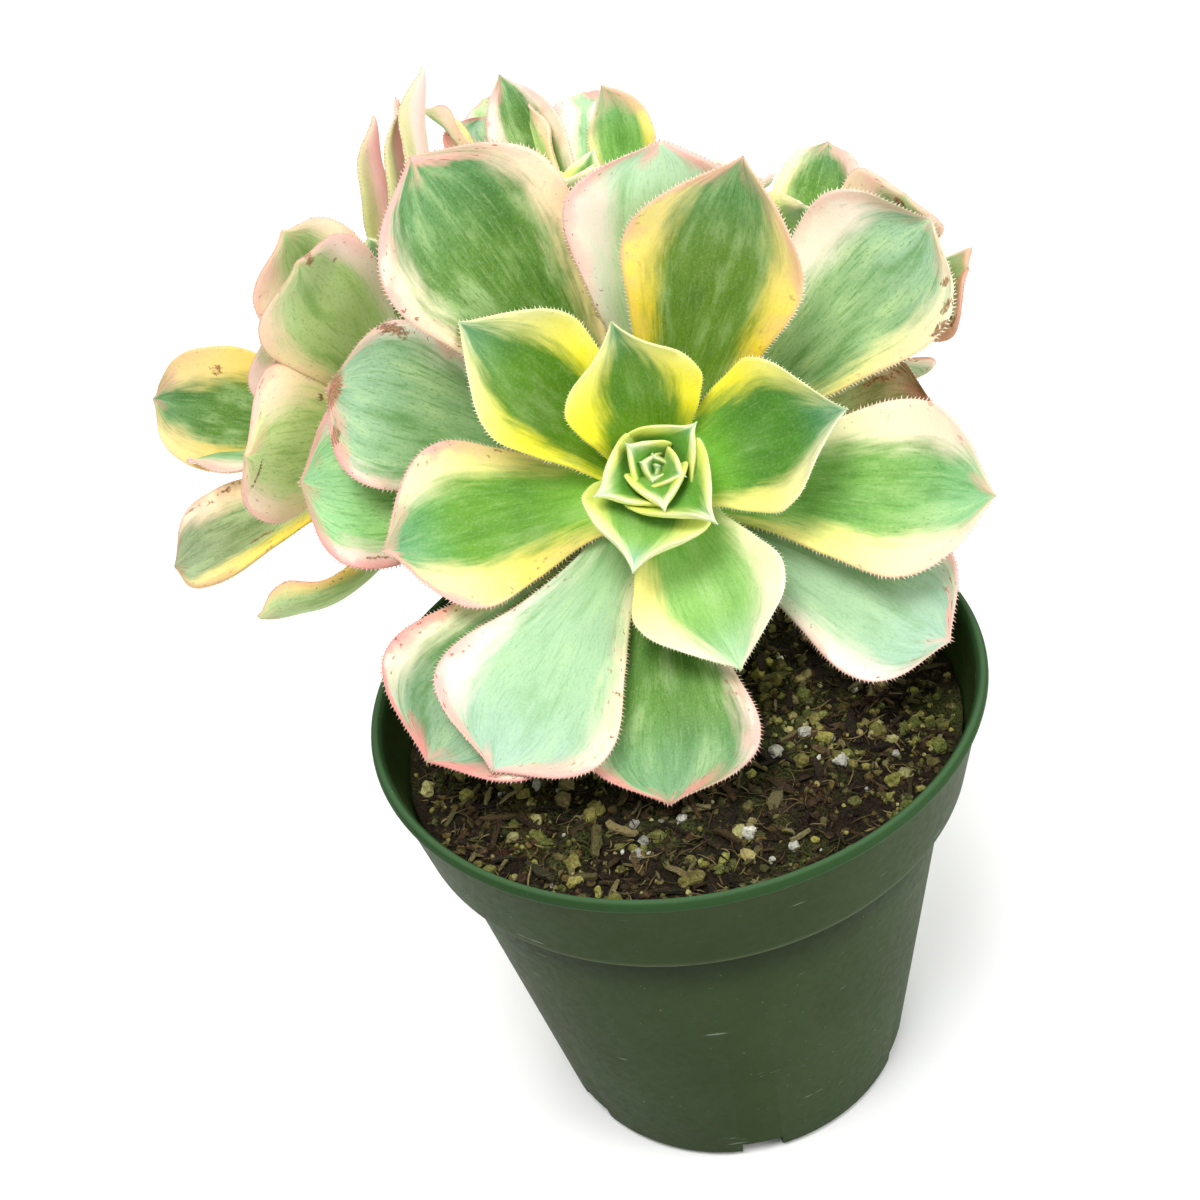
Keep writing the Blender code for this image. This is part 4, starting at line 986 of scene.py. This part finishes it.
def strand(chance, length, radius):
    """A thin bent fibre with three sides."""
    rows = 7
    heading = 0.0
    spot = np.array([-length / 2, 0.0, 0.0])
    turn = chance.uniform(-0.25, 0.25)
    points = []
    for i in range(rows):
        thin = radius * (1 - 0.6 * abs(2 * i / (rows - 1) - 1))
        for k in range(3):
            a = 2 * math.pi * k / 3
            points.append(spot + np.array([0.0, thin * math.cos(a), thin * math.sin(a)]))
        heading += turn + chance.uniform(-0.15, 0.15)
        forward = np.array([math.cos(heading), math.sin(heading), chance.uniform(-0.12, 0.12)])
        spot = spot + forward * length / (rows - 1)
    faces = [(0, 1, 2), (3 * rows - 1, 3 * rows - 2, 3 * rows - 3)]
    for i in range(rows - 1):
        for k in range(3):
            a, b = 3 * i + k, 3 * i + (k + 1) % 3
            faces.append((a, a + 3, b + 3, b))
    return np.array(points), faces


def build_litter():
    """Bark chips and fibres that lie over each other on the soil."""
    chance = random.Random(SOIL_SEED + 1)
    chips = Heap()
    for _ in range(CHIP_COUNT):
        length = drawn_size(chance, CHIP_LENGTHS)
        width = length * chance.uniform(*CHIP_BREADTHS)
        x, y = soil_spot(chance, length / 2 + 0.8)
        depth = chance.uniform(*CHIP_DEPTHS)
        points, faces = sliver(chance, length, width, depth, chance.uniform(*CHIP_BOWS))
        lean = chance.gauss(0, 0.14)
        points = turned(points, chance.uniform(*SPIN), chance.gauss(0, 0.35), lean)
        points = points + np.array([x, y, soil_top(x, y) + CHIP_REST + abs(lean) * length * 0.3])
        chips.add(points, faces, drawn_tone(chance, CHIP_TONES, 0.45, 1.15))
    chips.make("soil_chips", toned_material("bark_chip", 3.0, 0.85, True), False)
    fibres = Heap()
    for _ in range(FIBRE_COUNT):
        length = chance.uniform(*FIBRE_LENGTHS)
        x, y = soil_spot(chance, length / 2 + 0.6)
        points, faces = strand(chance, length, chance.uniform(*FIBRE_RADII))
        points = turned(points, chance.uniform(*SPIN), 0.0, chance.gauss(0, 0.1))
        points = points + np.array([x, y, soil_top(x, y) + chance.uniform(*FIBRE_RESTS)])
        fibres.add(points, faces, drawn_tone(chance, FIBRE_TONES, 0.7, 1.2))
    fibres.make("soil_fibres", toned_material("peat_fibre", 3.0, 0.9, True), True)


def rosette_frame(name):
    """Centre, the two axes of the rosette's plane and its normal."""
    centre, heading, elevation, spin, _, _, _ = ROSETTES[name]
    h = math.radians(heading)
    e = math.radians(elevation)
    s = math.radians(spin)
    normal = np.array([math.sin(h) * math.cos(e), -math.cos(h) * math.cos(e), math.sin(e)])
    level = np.array([math.cos(h), math.sin(h), 0.0])
    rising = np.cross(normal, level)
    first = math.cos(s) * level + math.sin(s) * rising
    return np.array(centre), first, np.cross(normal, first), normal


def swept_tube(path, radii, sides, last=None):
    """Points and faces of a tube along a path, closed at its ends."""
    path = np.array(path, float)
    points = []
    across = np.array([1.0, 0.0, 0.0])
    for i, spot in enumerate(path):
        along = path[min(i + 1, len(path) - 1)] - path[max(i - 1, 0)]
        if i == len(path) - 1 and last is not None:
            along = np.array(last)
        along = unit(along)
        across = unit(across - along * (across @ along))
        other = np.cross(along, across)
        for k in range(sides):
            a = 2 * math.pi * k / sides
            points.append(spot + radii[i] * (math.cos(a) * across + math.sin(a) * other))
    faces = []
    for i in range(len(path) - 1):
        for k in range(sides):
            a, b = i * sides + k, i * sides + (k + 1) % sides
            faces.append((a, b, b + sides, a + sides))
    faces.append(tuple(range(sides)))
    faces.append(tuple(range(len(path) * sides - 1, (len(path) - 1) * sides - 1, -1)))
    return np.array(points), faces


def resampled(path, radii, pitch):
    """The path and radii at an even pitch, rounded at the knees."""
    path = np.array(path, float)
    lengths = np.concatenate([[0], np.cumsum(np.linalg.norm(np.diff(path, axis=0), axis=1))])
    s = np.linspace(0, lengths[-1], max(int(lengths[-1] / pitch), 4))
    rounded = np.stack([np.interp(s, lengths, path[:, k]) for k in range(3)], axis=1)
    for _ in range(6):
        rounded[1:-1] = (rounded[:-2] + 2 * rounded[1:-1] + rounded[2:]) / 4
    return rounded, np.interp(s, lengths, radii)


def build_stems():
    """Trunk and branches with the rings that fallen leaves left."""
    foot = (TRUNK_X, TRUNK_Y, TRUNK_FOOT)
    rim_height = (TRUNK_X, TRUNK_Y, POT_HEIGHT - 6.0)
    knob = (FORK[0], FORK[1] + 1, FORK[2] + 5)
    lines = [((foot, rim_height, FORK, knob), (TRUNK_RADIUS, TRUNK_RADIUS, TRUNK_RADIUS + 0.3, 3.5))]
    for name, (centre, _, _, _, depth, knees, radius) in ROSETTES.items():
        _, _, _, normal = rosette_frame(name)
        end = np.array(centre) - (depth + GAP) * normal
        path = [FORK, *knees, end - NECK * normal, end]
        lines.append((path, [radius + 0.6] + [radius] * (len(path) - 1)))
    points = []
    faces = []
    for path, radii in lines:
        rounded, radii = resampled(path, radii, STEM_PITCH)
        rings = SCAR_RINGS[0] * np.sin(np.arange(len(rounded)) * SCAR_RINGS[1]) - SCAR_RINGS[2]
        tube, shape = swept_tube(rounded, radii + rings, STEM_SIDES)
        rough = [BARK_RELIEF * noise.fractal(Vector(p * 0.35), 0.9, 2.0, 3) for p in tube]
        axis = np.repeat(rounded, STEM_SIDES, axis=0)
        outward = tube - axis
        outward = outward / np.linalg.norm(outward, axis=1)[:, None]
        tube = tube + outward * np.array(rough)[:, None]
        start = sum(len(p) for p in points)
        faces += [tuple(start + i for i in face) for face in shape]
        points.append(tube)
    dress(mesh_object("stem_bark", np.concatenate(points), faces), stem_material(), "stem", "stems")


def half_width(t, age, widest, tip_ageing):
    """Share of the leaf's greatest half-width at t, from 0 at the root to 1 at the tip."""
    station = np.where(t < widest, t / widest, 1 + (t - widest) / (1 - widest))
    young = smooth_curve(OUTLINE_STATIONS, OUTLINE_YOUNG, station)
    mature = smooth_curve(OUTLINE_STATIONS, OUTLINE_MATURE, station)
    share = np.where(t < widest, age, age ** tip_ageing)
    return (1 - share) * young + share * mature


def margin_distance(x, y, outline):
    """Distance in mm from each point of the flat blade to its outline."""
    start = outline[:-1]
    run = outline[1:] - start
    spots = np.stack([x.ravel(), y.ravel()], axis=1)
    to = spots[:, None] - start[None]
    share = np.clip((to * run).sum(-1) / np.maximum((run * run).sum(-1), 1e-9), 0, 1)
    gap = np.linalg.norm(to - share[..., None] * run, axis=-1)
    return gap.min(axis=1).reshape(x.shape)


class Blades:
    """The leaves of one rosette, gathered into one mesh with what their colouring needs."""

    FIELDS = (("core_tone", "FLOAT_COLOR"), ("edge_tone", "FLOAT_COLOR"), ("rim_tone", "FLOAT_COLOR"),
              ("flat", "FLOAT_VECTOR"), ("band", "FLOAT"), ("edge", "FLOAT"), ("rim", "FLOAT"),
              ("fleck", "FLOAT"), ("scar", "FLOAT"), ("mottle", "FLOAT"))

    def __init__(self):
        self.points = []
        self.faces = []
        self.count = 0
        self.fields = {name: [] for name, _ in self.FIELDS}

    def add(self, points, faces, **fields):
        self.faces += [tuple(self.count + int(i) for i in face) for face in faces]
        self.points.append(points)
        self.count += len(points)
        for name, kind in self.FIELDS:
            value = np.asarray(fields[name], float)
            wide = kind != "FLOAT"
            if value.ndim == (1 if wide else 0):
                value = np.tile(value, (len(points), 1)) if wide else np.full(len(points), float(value))
            self.fields[name].append(value)

    def make(self, name):
        obj = mesh_object(name, np.concatenate(self.points), self.faces)
        for field, kind in self.FIELDS:
            write_attribute(obj, field, kind, np.concatenate(self.fields[field]))
        return obj


def leaf_grid(rows, columns):
    """Stations along the blade, close together at its tip, and places across it, close at the rims."""
    s = np.linspace(0, 1, rows)
    t = 1 - (1 - s) ** TIP_CROWDING
    inner = np.linspace(-COLUMNS_REACH, COLUMNS_REACH, columns - 2 * len(RIM_COLUMNS))
    rim = np.array(RIM_COLUMNS)
    return t, np.concatenate([-rim[::-1], inner, rim])


def grid_faces(rows, columns):
    """Quads of an upper and a lower sheet that share their border, and the lower sheet's numbering."""
    upper = np.arange(rows * columns).reshape(rows, columns)
    lower = upper.copy()
    inside = (rows - 2) * (columns - 2)
    lower[1:-1, 1:-1] = rows * columns + np.arange(inside).reshape(rows - 2, columns - 2)
    faces = []
    for i in range(rows - 1):
        for j in range(columns - 1):
            faces.append((upper[i, j], upper[i, j + 1], upper[i + 1, j + 1], upper[i + 1, j]))
            faces.append((lower[i, j], lower[i + 1, j], lower[i + 1, j + 1], lower[i, j + 1]))
    return faces


def along_blade(t, root, middle, tip):
    """Three tones blended from the blade's root to its tip."""
    early = smooth_step(0.05, 0.5, t)[..., None]
    late = smooth_step(0.66, 1.0, t)[..., None]
    return (root * (1 - early) + middle * early) * (1 - late) + tip * late


def leaf(blades, place, row, seed, scars, tip_ageing):
    """One leaf with its teeth, added to the rosette's blades."""
    azimuth, root_radius, root_height, length, width, lift, bend, cup, roll, age = row[:10]
    centre_name, left_name, left, right_name, right, rim_name, rim = row[10:]
    chance = random.Random(seed)
    centre, first, second, normal = place
    t, v = leaf_grid(*(FINE_GRID if length > LARGE_LEAF else COARSE_GRID))
    a = math.radians(azimuth)
    out = math.cos(a) * first + math.sin(a) * second
    fine = np.linspace(0, 1, 201)
    pitch = np.radians(lift + bend * fine)
    heading = np.cos(pitch)[:, None] * out + np.sin(pitch)[:, None] * normal
    run = np.concatenate([[np.zeros(3)], np.cumsum((heading[1:] + heading[:-1]) / 2, axis=0) * length / 200])
    mid = centre + root_radius * out + root_height * normal
    mid = mid + np.stack([np.interp(t, fine, run[:, k]) for k in range(3)], axis=1)
    pitch = np.radians(lift + bend * t)
    along = np.cos(pitch)[:, None] * out + np.sin(pitch)[:, None] * normal
    up = np.cos(pitch)[:, None] * normal - np.sin(pitch)[:, None] * out
    side = np.cross(along, up)
    turn = math.radians(roll)
    across = math.cos(turn) * side + math.sin(turn) * up
    above = math.cos(turn) * up - math.sin(turn) * side
    widest = WIDEST_YOUNG + WIDEST_GAIN * age
    if centre_name == "heart":
        widest = WIDEST_IN_HEART
        cup = cup + HEART_CUPPING
    half = np.maximum(width / 2 * half_width(t, age, widest, tip_ageing), TIP_HALF_WIDTH)
    # The first station moves into the core, so that the root is sunk.
    mid = np.concatenate([[mid[0] - ROOT_SINK * out], mid])
    across, above, half = (np.concatenate([values[:1], values]) for values in (across, above, half))
    t = np.concatenate([[0.0], t])
    rows, columns = len(t), len(v)
    x = half[:, None] * v[None]
    y = np.repeat((t * length)[:, None], columns, axis=1)
    rim_x = np.concatenate([x[:, 0], x[::-1, -1]])
    rim_y = np.concatenate([y[:, 0], y[::-1, -1]])
    edge = margin_distance(x, y, np.stack([rim_x, rim_y], axis=1))
    edge[0] = half[0]
    size = min(1.0, length / FULL_LENGTH)
    wave = np.zeros((rows, columns))
    for count in (1, 2, 3):
        phase = chance.uniform(0, 6.3)
        skew = chance.choice((-0.8, 0.8))
        ripple = np.sin(2 * math.pi * count * t + phase)[:, None]
        wave = wave + ripple * (v[None] ** 2 * (1 + skew * v[None])) / count
    wave = WAVE * size * wave * smooth_step(0.2, 0.6, t)[:, None] * smooth_step(0, 3, half)[:, None]
    groove = -GROOVE_DEPTH * size * np.exp(-(v[None] / GROOVE_WIDTH) ** 2) * smooth_step(0.1, 0.5, t)[:, None]
    groove = groove * (1 - smooth_step(0.8, 1.0, t)[:, None])
    belly = BELLY_THICKNESS * (1 - t) ** 0.5 * min(1.0, length / BELLY_LENGTH) + ROOT_THICKNESS * (1 - t) ** 3
    swollen = HEART_EDGE if centre_name in ("heart", "bud") else 1.0
    rounded = np.sqrt(1 - (1 - np.clip(edge / (EDGE_RADIUS * swollen), 0, 1)) ** 2)
    thick = (EDGE_THICKNESS * swollen * rounded + belly[:, None] * (1 - v[None] ** 2)) / 2
    beak = -BEAK * size * smooth_step(0.82, 1.0, t)[:, None]
    fold = cup + TIP_FOLD * (1.2 - age) * smooth_step(0.7, 0.92, t)[:, None]
    sheet = mid[:, None] + x[..., None] * across[:, None]
    sheet = sheet + (fold * half[:, None] * v[None] ** 2 + wave + beak)[..., None] * above[:, None]
    upper = sheet + (thick + groove)[..., None] * above[:, None]
    lower = sheet - thick[..., None] * above[:, None]
    border = np.ones((rows, columns), bool)
    border[1:-1, 1:-1] = False
    upper[border] = sheet[border]
    inside = (slice(1, -1), slice(1, -1))
    count_below = (rows - 2) * (columns - 2)

    def both(values):
        """Values of the upper sheet, then of the lower sheet's inside."""
        return np.concatenate([values.reshape(rows * columns, -1), values[inside].reshape(count_below, -1)])

    spread = np.repeat(t[:, None], columns, axis=1)
    core = along_blade(spread, *(linear(tone) for tone in CENTRES[centre_name]))
    outer = smooth_step(0.45, 0.95, spread)[..., None]
    edge_tones = [[linear(tone) for tone in MARGINS[margin]] for margin in (left_name, right_name)]
    edge_tones = [low * (1 - outer) + high * outer for low, high in edge_tones]
    sided = smooth_step(-0.25, 0.25, v)[None, :, None]
    edge_tone = edge_tones[0] * (1 - sided) + edge_tones[1] * sided
    rim_tone = linear(RIMS[rim_name])
    rims = both(rim * (0.2 + 0.8 * smooth_step(0.4, 0.82, spread)))[:, 0]
    rims[-count_below:] *= UNDERSIDE_RIM
    below = linear(UNDERSIDE)
    core_all = both(core)
    paling = 0.0 if centre_name == "shell" else UNDERSIDE_SHARE
    core_all[-count_below:] = core_all[-count_below:] * (1 - paling) + below * paling
    # The margins are narrow at the root, widest beyond the middle and give way to the centre at the tip.
    swell = (0.25 + 0.75 * smooth_step(0.08, 0.55, t)) * (1 + 0.3 * smooth_step(0.5, 0.8, t))
    swell = swell * (1 - 0.8 * smooth_step(0.84, 0.99, t))
    share = np.where(v[None] < 0, left, right) * swell[:, None]
    band = (np.abs(v[None]) - (1 - share)) * np.maximum(half[:, None] / (width / 2), SOFT_BAND) / BLEND
    scar = np.zeros((rows, columns))
    for sx, sy, rx, ry in scars:
        scar = np.maximum(scar, 1 - smooth_step(0.3, 1.4, np.hypot((x - sx) / rx, (y - sy) / ry)))
    flat_x = v[None] * np.full((rows, 1), width / 2)
    flat_all = both(np.stack([flat_x, y, np.full((rows, columns), seed_shift(seed))], axis=-1))
    flat_all[-count_below:, 2] += BELOW_SHIFT
    blades.add(
        np.concatenate([upper.reshape(-1, 3), lower[inside].reshape(-1, 3)]),
        grid_faces(rows, columns),
        core_tone=core_all, edge_tone=both(edge_tone), rim_tone=rim_tone, flat=flat_all,
        band=both(band)[:, 0], edge=both(edge)[:, 0], rim=rims, fleck=rim * age,
        scar=both(scar)[:, 0], mottle=MOTTLE[centre_name],
    )
    if length < SMALLEST_TOOTHED:
        return
    for column, outward in ((0, -1), (columns - 1, 1)):
        line = sheet[:, column]
        teeth(blades, chance, line, outward * across, above, t, rim_tone, rim, size)


def seed_shift(seed):
    """A place in the noise that is the leaf's own."""
    return random.Random(seed + "z").uniform(0, 400)


def teeth(blades, chance, line, outward, above, t, rim_tone, rim, size):
    """Small forward-leaning teeth along one margin."""
    lengths = np.concatenate([[0], np.cumsum(np.linalg.norm(np.diff(line, axis=0), axis=1))])
    where = np.interp(TOOTH_START, t[1:], lengths[1:])
    points = []
    faces = []
    while where < lengths[-1]:
        i = min(int(np.searchsorted(lengths, where)), len(line) - 1)
        u = (where - lengths[i - 1]) / max(lengths[i] - lengths[i - 1], 1e-6)
        base = line[i - 1] * (1 - u) + line[i] * u
        tangent = unit(line[i] - line[i - 1])
        off = unit(outward[i] - tangent * (outward[i] @ tangent))
        lean = chance.uniform(*TOOTH_LEANS)
        point = unit(off + lean * tangent + chance.uniform(-0.25, 0.25) * above[i])
        reach = TOOTH_LENGTH * size * chance.uniform(*TOOTH_VARIETY)
        foot = base - TOOTH_SINK * off
        b = len(points)
        points += [
            foot - TOOTH_HALF_BASE * size * tangent - TOOTH_DROP * above[i],
            foot + TOOTH_HALF_BASE * size * tangent - TOOTH_DROP * above[i],
            foot + 0.2 * size * above[i],
            base + reach * point,
        ]
        faces += [(b, b + 1, b + 2), (b, b + 3, b + 1), (b + 1, b + 3, b + 2), (b + 2, b + 3, b)]
        where += TOOTH_PITCH * (0.55 + 0.45 * size) * chance.uniform(0.8, 1.2)
    if points:
        share = 0.3 * rim
        tone = linear(TOOTH_TONE) * (1 - share) + rim_tone * share
        blades.add(
            np.array(points), faces, core_tone=tone, edge_tone=tone, rim_tone=rim_tone, flat=(0, 0, 0),
            band=9.0, edge=0.6, rim=0.5 * rim, fleck=0.0, scar=0.0, mottle=0.0,
        )


def young_rows(start, longest):
    """Leaves round a bud, each turned by the golden angle and shorter than the one before."""
    rows = []
    for i in range(YOUNG_COUNT):
        s = 1 - i / YOUNG_COUNT
        size = (7 + (longest - 7) * s, 6 + (longest - 9) * s)
        shape = (start + GOLDEN_ANGLE * i, 2 + 2 * s, 4 - 6 * s, *size, 72 - 28 * s, -6, 0.4, 0, 0.3 * s)
        rows.append((*shape, *YOUNG_COLOURS))
    return rows


def build_rosette(name):
    place = rosette_frame(name)
    centre, _, _, normal = place
    depth = ROSETTES[name][4]
    blades = Blades()
    levels = ((-depth, CORE_FOOT_RADIUS), (-depth + CORE_SWELLS_IN, CORE_RADIUS), *CORE_TOP)
    path, radii = resampled([centre + h * normal for h, _ in levels], [r for _, r in levels], STEM_PITCH)
    core, faces = swept_tube(path, radii, CORE_SIDES, last=normal)
    green = linear(CORE_TONE)
    blades.add(
        core, faces, core_tone=green, edge_tone=green, rim_tone=green, flat=core[:1].repeat(len(core), 0),
        band=-9.0, edge=9.0, rim=0.0, fleck=0.0, scar=0.0, mottle=1.0,
    )
    rows = list(LEAVES[name])
    if name in YOUNG_LEAVES:
        rows += young_rows(*YOUNG_LEAVES[name])
    for k, row in enumerate(rows):
        leaf(blades, place, row, f"{name}{k}", SCARS.get((name, k), ()), TIP_AGEING[name])
    dress(blades.make(f"leaves_{name}"), leaf_material(f"leaf_{name}"), f"leaf_{name}", f"rosette_{name}")


def build_stage():
    """Pale floor, soft lights and the camera."""
    signs = ((-1, -1), (1, -1), (1, 1), (-1, 1))
    corners = [(x * FLOOR_REACH, y * FLOOR_REACH, 0) for x, y in signs]
    floor = mesh_object("floor", corners, [(0, 1, 2, 3)], False)
    floor.location.z = -FLOOR_SINK * MM
    floor.data.materials.append(floor_material())
    world = bpy.data.worlds.new("studio")
    bpy.context.scene.world = world
    world.use_nodes = True
    sky = world.node_tree.nodes["Background"]
    sky.inputs["Color"].default_value = (1.0, 1.0, 1.0, 1.0)
    sky.inputs["Strength"].default_value = SKY_STRENGTH
    for name, place, size, power in LIGHTS:
        lamp = bpy.data.lights.new(name, "AREA")
        lamp.shape = "DISK"
        lamp.size = size * MM
        lamp.energy = power
        holder = bpy.data.objects.new(name, lamp)
        holder.location = Vector(place) * MM
        aim = Vector(LIGHTS_AIM) * MM - holder.location
        holder.rotation_euler = aim.to_track_quat("-Z", "Y").to_euler()
        bpy.context.scene.collection.objects.link(holder)
    e = math.radians(CAMERA_ELEVATION)
    r = math.radians(CAMERA_ROLL)
    back = Vector((0, -math.cos(e), math.sin(e)))
    right = Vector((1, 0, 0))
    up = back.cross(right)
    turned_right = math.cos(r) * right + math.sin(r) * up
    turned_up = -math.sin(r) * right + math.cos(r) * up
    eye = Vector((0, 0, POT_HEIGHT)) + CAMERA_DISTANCE * back
    eye = eye - CAMERA_SHIFT[0] * turned_right - CAMERA_SHIFT[1] * turned_up
    view = bpy.data.cameras.new("camera")
    view.lens = CAMERA_LENS
    view.sensor_width = SENSOR
    view.clip_start = 0.01
    holder = bpy.data.objects.new("camera", view)
    turn = Matrix((turned_right, turned_up, back)).transposed().to_4x4()
    holder.matrix_world = Matrix.Translation(eye * MM) @ turn
    bpy.context.scene.collection.objects.link(holder)
    bpy.context.scene.camera = holder
    bpy.context.scene.view_settings.view_transform = "Standard"


build_stage()
build_pot()
build_soil_bed()
build_grit()
build_litter()
build_stems()
for rosette in ROSETTES:
    build_rosette(rosette)
